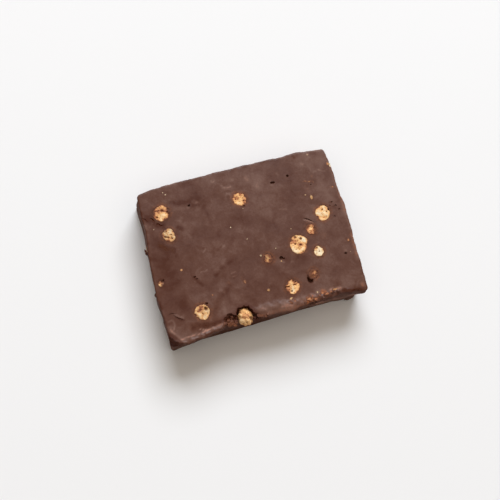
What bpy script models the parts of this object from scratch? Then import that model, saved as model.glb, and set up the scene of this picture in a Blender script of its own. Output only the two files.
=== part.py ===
"""A hand-cut slab of chocolate nougat with toasted cereal crisps set in it.

The slab lies on its flat underside, its length along X and its depth along Y, with its origin in the middle
of the underside. Each crisp that shows at a face is a solid of its own. It sits in a socket in the
chocolate and is cut off flush with that face.
"""

import math
import random

import bmesh
import bpy
from mathutils import Vector, noise

MM = 0.001

# Driving sizes.
HEIGHT = 14.0 * MM
HALF_LENGTH = 31.0 * MM
HALF_DEPTH = 23.5 * MM
GAP = 0.3 * MM  # between a crisp and its socket

# The four walls, in millimetres. Each row gives a place along the wall, how far the wall stands from the
# middle of the slab there, how wide the rounded shoulder at its top is, and how far its foot stands out.
FRONT_WALL = (
    (-31.0, 24.2, 0.7, 0.0),
    (-26.0, 23.9, 0.5, -0.3),
    (-21.5, 23.3, 0.5, -0.3),
    (-17.0, 22.5, 0.6, 0.3),
    (-13.5, 21.8, 0.8, 0.9),
    (-3.0, 21.2, 2.3, 1.1),
    (6.0, 21.2, 2.8, 0.7),
    (15.0, 20.9, 2.6, 0.6),
    (22.0, 20.6, 1.2, 0.7),
    (26.5, 21.3, 0.8, 0.3),
    (31.0, 22.2, 0.9, -1.2),
)
BACK_WALL = (
    (-31.0, 22.4, 0.8, 0.0),
    (-24.0, 23.6, 0.6, 0.0),
    (-16.0, 24.0, 0.5, 0.0),
    (12.0, 24.3, 0.5, 0.0),
    (21.0, 24.3, 0.5, 0.0),
    (31.0, 23.4, 0.6, 0.0),
)
LEFT_WALL = (
    (-24.0, 30.5, 0.6, 0.2),
    (-20.0, 30.2, 0.6, 0.1),
    (-9.0, 30.8, 0.5, 0.0),
    (3.0, 30.5, 0.5, 0.0),
    (13.0, 29.7, 0.5, 0.0),
    (21.0, 29.6, 0.5, 0.4),
    (24.0, 29.6, 0.8, 0.2),
)
RIGHT_WALL = (
    (-24.0, 30.7, 0.9, -1.2),
    (-16.0, 30.8, 0.6, -0.3),
    (-8.0, 31.0, 0.5, 0.0),
    (4.0, 30.8, 0.5, 0.0),
    (15.0, 30.1, 0.6, 0.1),
    (24.0, 29.4, 0.7, 0.1),
)
CORNER_RADIUS = 1.0 * MM
SHOULDER_DROP = 0.45  # of the shoulder's width
LEAST_DROP = 0.15 * MM
FOOT_RADIUS = 0.35 * MM  # rounding all round the underside

# Unevenness: the size of the bumps, how high they stand, and which part of the noise they are taken from.
TOP_SWELL = (15.0 * MM, 0.14 * MM, 0.0)
WALL_WAVE = (6.0 * MM, 0.35 * MM, 3.1)
WALL_CRAG = (2.4 * MM, 0.22 * MM, 8.7)
FRONT_ROUGHNESS = 1.6  # against the other walls, which were cut more cleanly
STEADY_BASE = (0.35, 0.25)  # share of the unevenness at the very bottom, and of the height where it is full
NEAR = 0.2 * MM  # closer than this to a wall, only that wall's shoulder counts
FOLLOW = 2.5 * MM  # how far in from a wall the top and underside go along with the wall's unevenness

# Where the lines of the slab's mesh run: close together near each edge, and about EVEN apart between.
EDGE_LINES = (0.0, 0.25 * MM, 0.8 * MM, 1.7 * MM, 3.0 * MM)
EVEN = 2.5 * MM
WALL_ROWS = 8

# Crisps cut flush with the top, in millimetres: place along X and Y, width and depth of the cut face.
TOP_CRISPS = (
    (-23.9, 15.5, 4.9, 4.9),
    (-23.4, 8.4, 4.0, 4.2),
    (0.1, 14.0, 4.2, 4.2),
    (23.6, 4.0, 4.7, 4.8),
    (13.8, -3.8, 5.4, 6.2),
    (19.3, -7.3, 3.5, 3.5),
    (8.7, -15.8, 4.8, 4.7),
    (-19.6, -16.6, 5.3, 5.0),
    (18.8, -0.1, 3.0, 3.0),
    (3.7, -5.9, 3.4, 3.6),
    (15.7, -13.8, 2.3, 2.3),
    (-29.2, -5.5, 2.0, 2.1),
)
BALL_OVER_CUT = 1.12  # a ball's radius against that of its cut face
# The whole crisp that lies bare where the front shoulder broke away: its middle and its three radii.
BARE_CRISP = ((-7.4, -20.6, 11.3), (2.5, 2.9, 2.6))
# Crisps broken open at the top of a wall: wall, place along it, height, radius.
RIM_CRISPS = (("front", 13.7, 12.0, 1.6), ("right", 18.0, 12.9, 1.2), ("right", -6.5, 13.0, 0.9))
RIM_SINK, RIM_CUT = 0.5, 0.45  # of the radius: how deep such a crisp sits, and where it broke off
# Crisps lower down in the walls and in the underside, spread by a seeded rule: how many in each.
WALL_COUNTS = (("right", 2), ("back", 4), ("left", 2))
WALL_HEIGHTS = (4.2 * MM, 9.2 * MM)
PLAY = (0.25, 0.75)  # where in its share of the wall each may lie
UNEVEN = (0.9, 1.1)  # the depth of its cut face against its width
UNDER_COUNT = 5
UNDER_REACH = 0.85  # of the way out to the walls
CUT_RADII = (1.6 * MM, 2.5 * MM)
APART = 0.8 * MM  # least chocolate between two crisps
UNDER_RECESS = 0.1 * MM  # of a crisp in the underside, so that the slab stands on chocolate
SEED = 7
LUMPS = (1.4, 0.09)  # lumps to a ball's radius, and their height as a share of it
ROUND_SEGMENTS, ROUND_RINGS = 12, 7  # sides of a ball, and its rings from pole to pole
SMALL_BALL = 1.8 * MM  # a ball of a smaller radius gets fewer sides
SMALL_SEGMENTS, SMALL_RINGS = 10, 5

# Pieces broken out of the chocolate: middle and three radii, in millimetres.
BREAKS = (
    ((-31.8, -24.9, 13.3), (3.6, 4.8, 4.0)),  # the front left corner, down to a ledge
    ((-7.4, -20.8, 13.6), (3.2, 3.6, 4.3)),  # round the bare crisp
    ((-10.9, -21.9, 13.9), (2.6, 2.6, 2.0)),  # the crumbled rim to the left of it
    ((-4.2, -21.8, 13.0), (1.9, 1.7, 2.0)),  # and to the right
    ((14.5, -15.4, 14.0), (0.8, 1.0, 1.7)),  # the hole beside a small crisp
)
BREAK_LUMPS = (1.4, 0.16)

CHOCOLATE = ("chocolate nougat", (0.105, 0.052, 0.036), 0.42)
CRISP = ("toasted crisp", (0.80, 0.52, 0.25), 0.75)
CHOCOLATE_SHARP, CRISP_SHARP = math.radians(40), math.radians(50)  # edges sharper than this are shaded so


def clear_scene():
    for obj in list(bpy.data.objects):
        bpy.data.objects.remove(obj)


def material(name, colour, roughness):
    made = bpy.data.materials.new(name)
    made.use_nodes = True
    shader = made.node_tree.nodes["Principled BSDF"]
    shader.inputs["Base Color"].default_value = (*colour, 1.0)
    shader.inputs["Roughness"].default_value = roughness
    shader.inputs["Metallic"].default_value = 0.0
    return made


def add_object(name, mesh, finish=None, parent=None):
    obj = bpy.data.objects.new(name, mesh)
    bpy.context.scene.collection.objects.link(obj)
    obj.parent = parent
    if finish:
        mesh.materials.append(finish)
    return obj


def shade(mesh, sharp):
    mesh.shade_smooth()
    mesh.set_sharp_from_angle(angle=sharp)


def smooth_step(share):
    share = min(max(share, 0.0), 1.0)
    return share * share * (3.0 - 2.0 * share)


def wall_row(wall, place):
    """(stand, shoulder, foot) of a wall at a place along it, in metres."""
    rows = [[value * MM for value in row] for row in wall]
    if place <= rows[0][0]:
        return rows[0][1:]
    for before, after in zip(rows, rows[1:]):
        if place <= after[0]:
            share = smooth_step((place - before[0]) / (after[0] - before[0]))
            return [a + (b - a) * share for a, b in zip(before[1:], after[1:])]
    return rows[-1][1:]


def wall_at(wall, place, share_up):
    """(stand, shoulder) of a wall at a place along it and a share of the slab's height."""
    stand, shoulder, foot = wall_row(wall, place)
    return stand + foot * (1.0 - share_up) ** 2, shoulder


def bumps(point, grain, height, shift):
    """Smooth random unevenness: bumps of about that grain, up to about that height either way."""
    return height * noise.noise(point / grain + Vector((shift, shift, shift)))


class Place:
    """A point of the slab, from its shares u, v (-1 to 1) and w (0 to 1) of the length, depth and height."""

    def __init__(self, u, v, w):
        self.w = w
        along_x, along_y = u * HALF_LENGTH, v * HALF_DEPTH
        left, right = wall_at(LEFT_WALL, along_y, w), wall_at(RIGHT_WALL, along_y, w)
        front, back = wall_at(FRONT_WALL, along_x, w), wall_at(BACK_WALL, along_x, w)
        self.x = -left[0] + (left[0] + right[0]) * (1 + u) / 2
        self.y = -front[0] + (front[0] + back[0]) * (1 + v) / 2
        gaps = (self.x + left[0], right[0] - self.x, self.y + front[0], back[0] - self.y)
        self.round_corner(gaps, left[0], right[0], front[0], back[0])
        # The nearer a wall, the more its shoulder and its roughness count.
        weights = [1.0 / (gap + NEAR) ** 2 for gap in gaps]
        total = sum(weights)
        shoulders = [wall[1] for wall in (left, right, front, back)]
        self.shoulder = sum(weight * shoulder for weight, shoulder in zip(weights, shoulders)) / total
        self.roughness = 1.0 + (FRONT_ROUGHNESS - 1.0) * weights[2] / total

    def round_corner(self, gaps, left, right, front, back):
        """Pulls a point near an upright corner onto its rounding, and finds how far in from the rim it is."""
        side_x, side_y = (-1 if gaps[0] < gaps[1] else 1), (-1 if gaps[2] < gaps[3] else 1)
        wall_x, wall_y = (left if side_x < 0 else right), (front if side_y < 0 else back)
        inner = Vector((side_x * (wall_x - CORNER_RADIUS), side_y * (wall_y - CORNER_RADIUS)))
        out = Vector(((self.x - inner.x) * side_x, (self.y - inner.y) * side_y))
        if out.x > 0 and out.y > 0:
            reach = max(out)
            out = out.normalized() * reach
            self.x, self.y = inner.x + side_x * out.x, inner.y + side_y * out.y
            self.outward = Vector((side_x * out.x, side_y * out.y)).normalized()
            self.inset = CORNER_RADIUS - reach
        elif out.x > out.y:
            self.outward, self.inset = Vector((side_x, 0.0)), CORNER_RADIUS - out.x
        else:
            self.outward, self.inset = Vector((0.0, side_y)), CORNER_RADIUS - out.y

    def rim(self, width, drop):
        """How far an elliptical rounding of that width and drop lies below its face here."""
        if self.inset >= width:
            return 0.0
        across = 1.0 - max(self.inset, 0.0) / width
        return drop * (1.0 - math.sqrt(1.0 - across * across))

    def point(self):
        drop = LEAST_DROP + SHOULDER_DROP * self.shoulder
        swell = bumps(Vector((self.x, self.y, 0.0)), *TOP_SWELL)
        top = HEIGHT - self.rim(self.shoulder, drop) + swell
        bottom = self.rim(FOOT_RADIUS * 1.5, FOOT_RADIUS)
        spot = Vector((self.x, self.y, bottom + (top - bottom) * self.w))
        # The unevenness is less at the edge of the flat underside.
        least, full_at = STEADY_BASE
        out = (bumps(spot, *WALL_WAVE) + bumps(spot, *WALL_CRAG)) * self.roughness
        out *= least + (1.0 - least) * smooth_step(self.w / full_at)
        out *= math.exp(-max(self.inset, 0.0) / FOLLOW)
        return spot + Vector((self.outward.x * out, self.outward.y * out, 0.0))


def lines(half):
    """Where mesh lines run between -1 and 1 along a side of that half size."""
    near = [distance / half for distance in EDGE_LINES]
    count = round(2 * half * (1 - near[-1]) / EVEN)
    even = [-1 + near[-1] + 2 * (1 - near[-1]) * i / count for i in range(1, count)]
    return [-1 + n for n in near] + even + [1 - n for n in reversed(near)]


def slab_mesh():
    """The chocolate: a box of mesh lines laid on the slab's walls, top and underside."""
    across, deep = lines(HALF_LENGTH), lines(HALF_DEPTH)
    high = [row / WALL_ROWS for row in range(WALL_ROWS + 1)]
    last = (len(across) - 1, len(deep) - 1, len(high) - 1)
    mesh = bmesh.new()
    corners = {}

    def corner(*index):
        if index not in corners:
            i, j, k = index
            corners[index] = mesh.verts.new(Place(across[i], deep[j], high[k]).point())
        return corners[index]

    def sheet(first, second, fixed, value, flip):
        """The faces of one side of the box: two running directions, and one that is held."""
        for a in range(last[first]):
            for b in range(last[second]):
                ring = []
                for step_a, step_b in ((0, 0), (1, 0), (1, 1), (0, 1)):
                    index = [0, 0, 0]
                    index[first], index[second], index[fixed] = a + step_a, b + step_b, value
                    ring.append(corner(*index))
                mesh.faces.new(reversed(ring) if flip else ring)

    for first, second, fixed in ((0, 1, 2), (1, 2, 0), (2, 0, 1)):
        sheet(first, second, fixed, last[fixed], False)
        sheet(first, second, fixed, 0, True)
    made = bpy.data.meshes.new("chocolate")
    mesh.to_mesh(made)
    mesh.free()
    return made


def lump(radii, shift, lumps, small):
    """A lumpy ball in a new bmesh, with three radii."""
    fineness, height = lumps
    ball = bmesh.new()
    segments, rings = (SMALL_SEGMENTS, SMALL_RINGS) if small else (ROUND_SEGMENTS, ROUND_RINGS)
    bmesh.ops.create_uvsphere(ball, u_segments=segments, v_segments=rings, radius=1.0)
    for vertex in ball.verts:
        swell = 1.0 + height * noise.noise(vertex.co * fineness + Vector((shift, 0.0, 2.0 * shift)))
        vertex.co = Vector([side * radius * swell for side, radius in zip(vertex.co, radii)])
    return ball


def cut_flush(ball, height):
    """Takes off what stands above that height, and closes the cut."""
    everything = ball.verts[:] + ball.edges[:] + ball.faces[:]
    bmesh.ops.bisect_plane(
        ball, geom=everything, dist=1e-6, plane_co=(0, 0, height), plane_no=(0, 0, 1), clear_outer=True
    )
    rim = [edge for edge in ball.edges if edge.is_boundary]
    bmesh.ops.holes_fill(ball, edges=rim, sides=0)


class Crisp:
    """A cereal crisp: a lumpy ball whose own +Z points out of the face that it shows in."""

    def __init__(self, name, spot, radii, cut=None, out=(0, 0, 1)):
        self.name = name
        self.spot = Vector(spot)
        self.radii = radii
        self.cut = cut
        self.turn = Vector(out).to_track_quat("Z", "Y")
        # Each crisp is lumpy in its own way.
        self.shift = 5.0 + 3.7 * (sum(ord(letter) for letter in name) % 23)
        self.small = max(radii) < SMALL_BALL

    def clear_of(self, others):
        """True if there is enough chocolate between this crisp and each of the others."""
        return all(
            (self.spot - other.spot).length > max(self.radii) + max(other.radii) + APART for other in others
        )

    def place(self, obj):
        obj.location = self.spot
        obj.rotation_mode = "QUATERNION"
        obj.rotation_quaternion = self.turn

    def build(self, finish, parent):
        ball = lump(self.radii, self.shift, LUMPS, self.small)
        if self.cut is not None:
            cut_flush(ball, self.cut)
        mesh = bpy.data.meshes.new(self.name)
        ball.to_mesh(mesh)
        ball.free()
        shade(mesh, CRISP_SHARP)
        self.place(add_object(self.name, mesh, finish, parent))

    def socket(self):
        """The crisp's own shape, grown by the gap: a cutter for the chocolate."""
        grown = [radius + GAP for radius in self.radii]
        ball = lump(grown, self.shift, LUMPS, self.small)
        mesh = bpy.data.meshes.new(self.name + "_socket")
        ball.to_mesh(mesh)
        ball.free()
        cutter = add_object(mesh.name, mesh)
        self.place(cutter)
        return cutter


def flush_crisp(name, spot, across, deep, out=(0, 0, 1)):
    """A crisp whose cut face, of that width and depth, has its middle at spot in a face of the slab."""
    radii = [across / 2 * BALL_OVER_CUT, deep / 2 * BALL_OVER_CUT]
    radii.append(sum(radii) / 2)
    cut = radii[2] * math.sqrt(1.0 - 1.0 / BALL_OVER_CUT**2)
    return Crisp(name, Vector(spot) - Vector(out) * cut, radii, cut, out)


def wall_spot(wall, place, height):
    """(point on a wall, the way it faces) at a place along the wall and a height."""
    along = place / (HALF_LENGTH if wall in ("front", "back") else HALF_DEPTH)
    shares = {"front": (along, -1), "back": (along, 1), "left": (-1, along), "right": (1, along)}[wall]
    spot = Place(*shares, height / HEIGHT)
    return spot.point(), Vector((spot.outward.x, spot.outward.y, 0.0))


def placed_crisps():
    """The crisps in the top and along its rim, each at a place of its own."""
    crisps = []
    for number, (x, y, across, deep) in enumerate(TOP_CRISPS, 1):
        top = HEIGHT + bumps(Vector((x, y, 0.0)) * MM, *TOP_SWELL)
        spot = (x * MM, y * MM, top)
        crisps.append(flush_crisp(f"crisp_top_{number:02d}", spot, across * MM, deep * MM))
    middle, radii = BARE_CRISP
    crisps.append(Crisp("crisp_bare", Vector(middle) * MM, [radius * MM for radius in radii]))
    for number, (wall, place, height, radius) in enumerate(RIM_CRISPS, 1):
        spot, out = wall_spot(wall, place * MM, height * MM)
        slant = (out + Vector((0, 0, 1))).normalized()
        sunk = spot - out * RIM_SINK * radius * MM
        crisps.append(Crisp(f"crisp_rim_{number:02d}", sunk, [radius * MM] * 3, RIM_CUT * radius * MM, slant))
    return crisps


def spread_crisps(crisps):
    """Adds crisps lower down in the walls and in the underside, clear of all others."""
    draw = random.Random(SEED)
    for wall, count in WALL_COUNTS:
        half = HALF_LENGTH if wall in ("front", "back") else HALF_DEPTH
        made = 0
        while made < count:
            step = 2.0 * half / count
            place = -half + step * (made + draw.uniform(*PLAY))
            spot, out = wall_spot(wall, place, draw.uniform(*WALL_HEIGHTS))
            across = 2.0 * draw.uniform(*CUT_RADII)
            deep = across * draw.uniform(*UNEVEN)
            crisp = flush_crisp(f"crisp_{wall}_{made + 1:02d}", spot, across, deep, out)
            if crisp.clear_of(crisps):
                crisps.append(crisp)
                made += 1
    made = 0
    while made < UNDER_COUNT:
        x = UNDER_REACH * HALF_LENGTH * (2.0 * (made + draw.random()) / UNDER_COUNT - 1.0)
        y = UNDER_REACH * HALF_DEPTH * draw.uniform(-1.0, 1.0)
        across = 2.0 * draw.uniform(*CUT_RADII)
        spot = (x, y, UNDER_RECESS)
        crisp = flush_crisp(f"crisp_under_{made + 1:02d}", spot, across, across, (0, 0, -1))
        if crisp.clear_of(crisps):
            crisps.append(crisp)
            made += 1
    return crisps


def break_cutter(number, middle, radii):
    """A lumpy cutter that breaks a piece out of the chocolate."""
    radii = [radius * MM for radius in radii]
    ball = lump(radii, 1.9 * number, BREAK_LUMPS, max(radii) < SMALL_BALL)
    mesh = bpy.data.meshes.new(f"break_{number}")
    ball.to_mesh(mesh)
    ball.free()
    cutter = add_object(mesh.name, mesh)
    cutter.location = Vector(middle) * MM
    return cutter


def carve(slab, cutters):
    """Cuts the sockets and breaks out of the slab with one Boolean on their collection."""
    group = bpy.data.collections.new("cutters")
    bpy.context.scene.collection.children.link(group)
    for cutter in cutters:
        bpy.context.scene.collection.objects.unlink(cutter)
        group.objects.link(cutter)
        cutter.hide_render = True
        cutter.display_type = "WIRE"
    cut = slab.modifiers.new("sockets and breaks", "BOOLEAN")
    cut.operation = "DIFFERENCE"
    cut.operand_type = "COLLECTION"
    cut.collection = group
    cut.solver = "EXACT"


def main():
    clear_scene()
    chocolate, toasted = material(*CHOCOLATE), material(*CRISP)
    origin = bpy.data.objects.new("nougat_origin", None)
    bpy.context.scene.collection.objects.link(origin)
    slab = add_object("nougat", slab_mesh(), chocolate, origin)
    shade(slab.data, CHOCOLATE_SHARP)
    crisps = spread_crisps(placed_crisps())
    for crisp in crisps:
        crisp.build(toasted, origin)
    cutters = [crisp.socket() for crisp in crisps]
    cutters += [break_cutter(number, *piece) for number, piece in enumerate(BREAKS, 1)]
    carve(slab, cutters)


main()
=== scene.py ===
import math
import random
from functools import lru_cache

import bmesh
import bpy
from mathutils import Matrix, Vector, kdtree, noise


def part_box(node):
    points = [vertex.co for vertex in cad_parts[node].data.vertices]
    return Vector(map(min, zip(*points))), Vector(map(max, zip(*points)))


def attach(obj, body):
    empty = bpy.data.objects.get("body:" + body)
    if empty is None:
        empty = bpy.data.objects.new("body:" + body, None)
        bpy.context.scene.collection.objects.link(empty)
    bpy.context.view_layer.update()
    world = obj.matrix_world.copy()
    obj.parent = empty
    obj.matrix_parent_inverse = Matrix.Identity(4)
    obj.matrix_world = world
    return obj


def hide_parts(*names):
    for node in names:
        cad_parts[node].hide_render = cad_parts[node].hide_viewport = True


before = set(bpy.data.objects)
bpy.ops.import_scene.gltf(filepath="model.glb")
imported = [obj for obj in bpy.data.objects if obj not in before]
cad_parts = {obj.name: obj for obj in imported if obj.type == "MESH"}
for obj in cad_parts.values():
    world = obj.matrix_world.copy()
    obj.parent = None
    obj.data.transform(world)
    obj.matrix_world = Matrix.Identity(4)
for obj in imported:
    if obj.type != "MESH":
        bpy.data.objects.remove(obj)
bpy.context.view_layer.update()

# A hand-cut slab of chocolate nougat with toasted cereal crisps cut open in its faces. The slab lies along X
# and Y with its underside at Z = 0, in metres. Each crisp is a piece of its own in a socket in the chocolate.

bl_info = {
    "name": "Chocolate nougat with cereal crisps",
    "version": (1, 0, 0),
    "blender": (4, 5, 0),
    "location": "3D View > Sidebar > Nougat",
    "description": "Builds a hand-cut slab of chocolate nougat, its crisps and a pale stage for it",
    "category": "Add Mesh",
}

MM = 0.001

# The slab's driving sizes.
HEIGHT = 14.0 * MM
HALF_LENGTH = 31.0 * MM
HALF_DEPTH = 23.5 * MM

# The four walls, in millimetres. Each row gives a place along the wall, how far the wall stands from the
# middle of the slab there, how wide the rounded shoulder at its top is, and how far its foot stands out.
FRONT_WALL = (
    (-31, 24.2, 0.7, 0), (-26, 23.9, 0.5, -0.3), (-21.5, 23.3, 0.5, -0.3), (-17, 22.5, 0.6, 0.3),
    (-13.5, 21.8, 0.8, 0.9), (-3, 21.2, 2.3, 1.1), (6, 21.2, 2.8, 0.7), (15, 20.9, 2.6, 0.6),
    (22, 20.6, 1.4, 0.7), (26.5, 21.3, 0.9, 0.3), (31, 22.2, 0.9, -1.2),
)
BACK_WALL = (
    (-31, 22.4, 0.8, 0), (-24, 23.5, 0.6, 0), (-16, 23.7, 0.5, 0), (12, 23.9, 0.5, 0), (21, 24.1, 0.5, 0),
    (31, 23.4, 0.6, 0),
)
LEFT_WALL = (
    (-24, 30.7, 0.5, -0.4), (-20, 30.8, 0.4, -0.9), (-9, 31.3, 0.4, -1), (3, 30.8, 0.4, -0.6),
    (13, 29.9, 0.4, -0.3), (21, 29.7, 0.5, 0.2), (24, 29.6, 0.8, 0.2),
)
RIGHT_WALL = (
    (-24, 30.7, 0.9, -1.2), (-16, 30.8, 0.6, -0.3), (-8, 31, 0.5, 0), (4, 30.8, 0.5, 0),
    (15, 30.1, 0.6, 0.1), (24, 29.4, 0.7, 0.1),
)
# The lip that the knife left along the front, in millimetres: place along X, how far the wall's top leans
# out, the height, distance from the rim and half width of the ridge on the top, and how crumbly it is.
FRONT_LIP = (
    (-31, 0, 0, 0.5, 0.4, 0.05), (-29, 0.4, 0.16, 0.6, 0.4, 0.2), (-26, 0.8, 0.2, 0.5, 0.35, 0.26),
    (-22, 0.9, 0.16, 0.5, 0.35, 0.3), (-18.8, 1, 0.26, 0.5, 0.32, 0.28), (-15, 0.9, 0.2, 0.5, 0.35, 0.28),
    (-13.4, 0.5, 0, 0.5, 0.4, 0.1), (-4.4, 0.5, 0, 1, 0.7, 0.2), (-2, 1.2, 0.2, 1.7, 0.8, 0.2),
    (4, 1.6, 0.24, 1.6, 0.8, 0.2), (10, 1.6, 0.16, 1.3, 0.7, 0.26), (13.5, 1.3, 0.14, 1, 0.6, 0.4),
    (21, 1.1, 0.16, 0.8, 0.5, 0.36), (24.5, 0.8, 0, 0.6, 0.5, 0.2), (28, 0.4, 0, 0.6, 0.5, 0.14),
    (31, 0, 0, 0.6, 0.5, 0.1),
)
LIP_FOOT, LIP_FULL = 0.45, 0.94  # shares of the height between which the wall leans out
LIP_LUMP = 1.0 * MM
LUMP_DRAWN_IN, LUMP_SPREAD = 0.7, 1.6  # shares of a lump's height and of the ridge's half width
SMALL_LUMPS = 0.6  # the height of the lip's smaller lumps against that of its larger ones
CORNER_RADIUS = 1.0 * MM
SHOULDER_DROP = 0.36  # of the shoulder's width
LEAST_DROP = 0.15 * MM
FULLNESS = 4.0  # how squarely a wide shoulder turns down: 2 is a plain ellipse
WIDE_SHOULDER = 0.8  # in millimetres, from where on it grows fuller
FOOT_RADIUS = 0.35 * MM
FOOT_WIDTH = 1.5 * FOOT_RADIUS

# Unevenness: the size of the bumps, how high they stand, and which part of the noise they are taken from.
TOP_SWELL = (15.0 * MM, 0.14 * MM, 0.0)
TOP_RIPPLE = (4.5 * MM, 0.05 * MM, 21.3)
TOP_GRAIN = (1.1 * MM, 0.012 * MM, 33.9)
RIM_CRUMBLE, RIM_REACH = (1.3 * MM, 0.16 * MM, 44.1), 0.55 * MM
WALL_WAVE = (6.0 * MM, 0.35 * MM, 3.1)
WALL_CRAG = (2.4 * MM, 0.22 * MM, 8.7)
WALL_GRAIN = (0.9 * MM, 0.07 * MM, 27.7)
LIP_WAVE = (1.6 * MM, 0.5, 0.0)  # its height is a share of the lip's
DRAG_ACROSS, DRAG_ALONG, DRAG_HEIGHT = 0.45 * MM, 4.0 * MM, 0.035 * MM  # a knife's marks down the walls
FRONT_ROUGHNESS = 1.6  # the front's unevenness against that of the other walls
STEADY_BASE = (0.35, 0.25)  # the foot's share of the unevenness, and the share of the height where it is full
NEAR = 0.2 * MM  # how closely a point keeps to the nearest wall's values
FOLLOW = 2.5 * MM  # how far in the mesh follows a wall's unevenness
GRAIN_FOLLOW = FOLLOW / 4
FAINT = 0.01  # the share below which a wall's finer relief or the lip is left out

# Where the lines of the fine mesh run: close together near each edge, and about EVEN apart between.
EDGE_LINES = tuple(step * MM for step in (0.0, 0.08, 0.18, 0.3, 0.45, 0.65, 0.9, 1.2))
EVEN, EVEN_QUICK = 0.32 * MM, 0.8 * MM
ROW_HEIGHT = 0.38 * MM

# Crisps cut flush with the top, in millimetres: place along X and Y, width and depth of the cut face.
TOP_CRISPS = (
    (-23.9, 15.5, 4.9, 4.9), (-23.4, 8.4, 4, 4.2), (0.1, 14, 4.2, 4.2), (23.6, 4, 4.7, 4.8),
    (13.8, -3.8, 5.4, 6.2), (19.3, -7.3, 3.5, 3.5), (8.7, -15.8, 4.8, 4.7), (-19.6, -16.6, 5.3, 5),
    (18.8, -0.1, 3, 3), (3.7, -5.9, 3.4, 3.6), (15.9, -13.5, 2.9, 3), (-29.2, -5.5, 2, 2.1),
)
BALL_OVER_CUT = 1.12  # a crisp's ball against its cut face
# Crisps broken open at the top of a wall, in millimetres: wall, place along it, height and radius.
RIM_CRISPS = (("front", 13.7, 12.0, 1.6), ("right", 18.0, 12.9, 1.2), ("right", -6.5, 13.0, 0.9))
RIM_SINK, RIM_CUT = 0.5, 0.45  # in radii: how deep in the wall its middle is, and how far the cut from that
# The sides whose crisps stand where their solids do: the axis that each side faces along, and which way.
OTHER_SIDES = {"right": (0, 1), "back": (1, 1), "left": (0, -1), "under": (2, -1)}
UNDER_LIFT = 0.05 * MM  # of the crisps in the underside, clear of the floor

# The whole crisp that lies bare in the front edge, in millimetres: its middle and three radii.
BARE_CRISP = ((-7.1, -20.9, 11.3), (2.3, 2.7, 2.6))
BARE_GAP = 0.16  # between it and its socket, in millimetres
BARE_LUMPS = ((1.4, 0.08), (3.0, 0.05))
BARE_SHIFT = 4.2  # which part of the noise its lumps are taken from
# On the bare crisp, in millimetres right and up of its middle as the camera sees it: the middle of each lobe,
# its size and how much browner it is, and the pores. The paler lobe at its lower left is a painted highlight,
# and the pores are painted dark inside, as painted shade.
BARE_LOBES = (
    (-0.3, 1.5, 1.5, 0.02), (0.9, 0.9, 1, 0.1), (-0.3, 0, 1.1, 0.17), (-1.8, 0.2, 0.8, -0.04),
    (-1.1, -1.5, 1, -0.16), (0.8, -1.5, 0.8, -0.08), (-0.1, -2.5, 0.7, 0.02), (2.4, -0.9, 0.7, 0),
)
BARE_PORES = ((1.7, -0.65, 0.58), (0.4, -1.95, 0.22), (-0.2, 0.75, 0.16))
BARE_PORE_DEPTH, BARE_PORE_EDGE, BARE_PORE_FADE = 0.2, 1.25, 0.6
BARE_TOAST, BARE_TOAST_BELOW, BARE_SMEAR = 0.54, 0.6, 0.08
LOBE_HEIGHT, LOBE_ROUNDING, LOBE_CREASE = 0.1, 1.4 * MM, 0.32 * MM
# A crease is browner and smeared, and painted darker inside as painted shade.
CREASE_TOAST, CREASE_SMEAR, CREASE_SHADE = 0.24, 0.2, 0.12
# Waves over it: how many to the radius, and how much they raise, shift or brown it.
LOBE_GRAIN = ((3.4, 0.02), (7.0, 0.01))
LOBE_WANDER, LOBES_BELOW, BARE_MOTTLE = (2.3, 0.5), (1.9, 2.2), (2.6, 0.22)
# How much is added to its toast and smear lower down, below what height and over how much, in radii.
LOW_TOAST, LOW_SMEAR = (0.5, 0.35, 0.5), (0.8, -0.1, 0.5)
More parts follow.
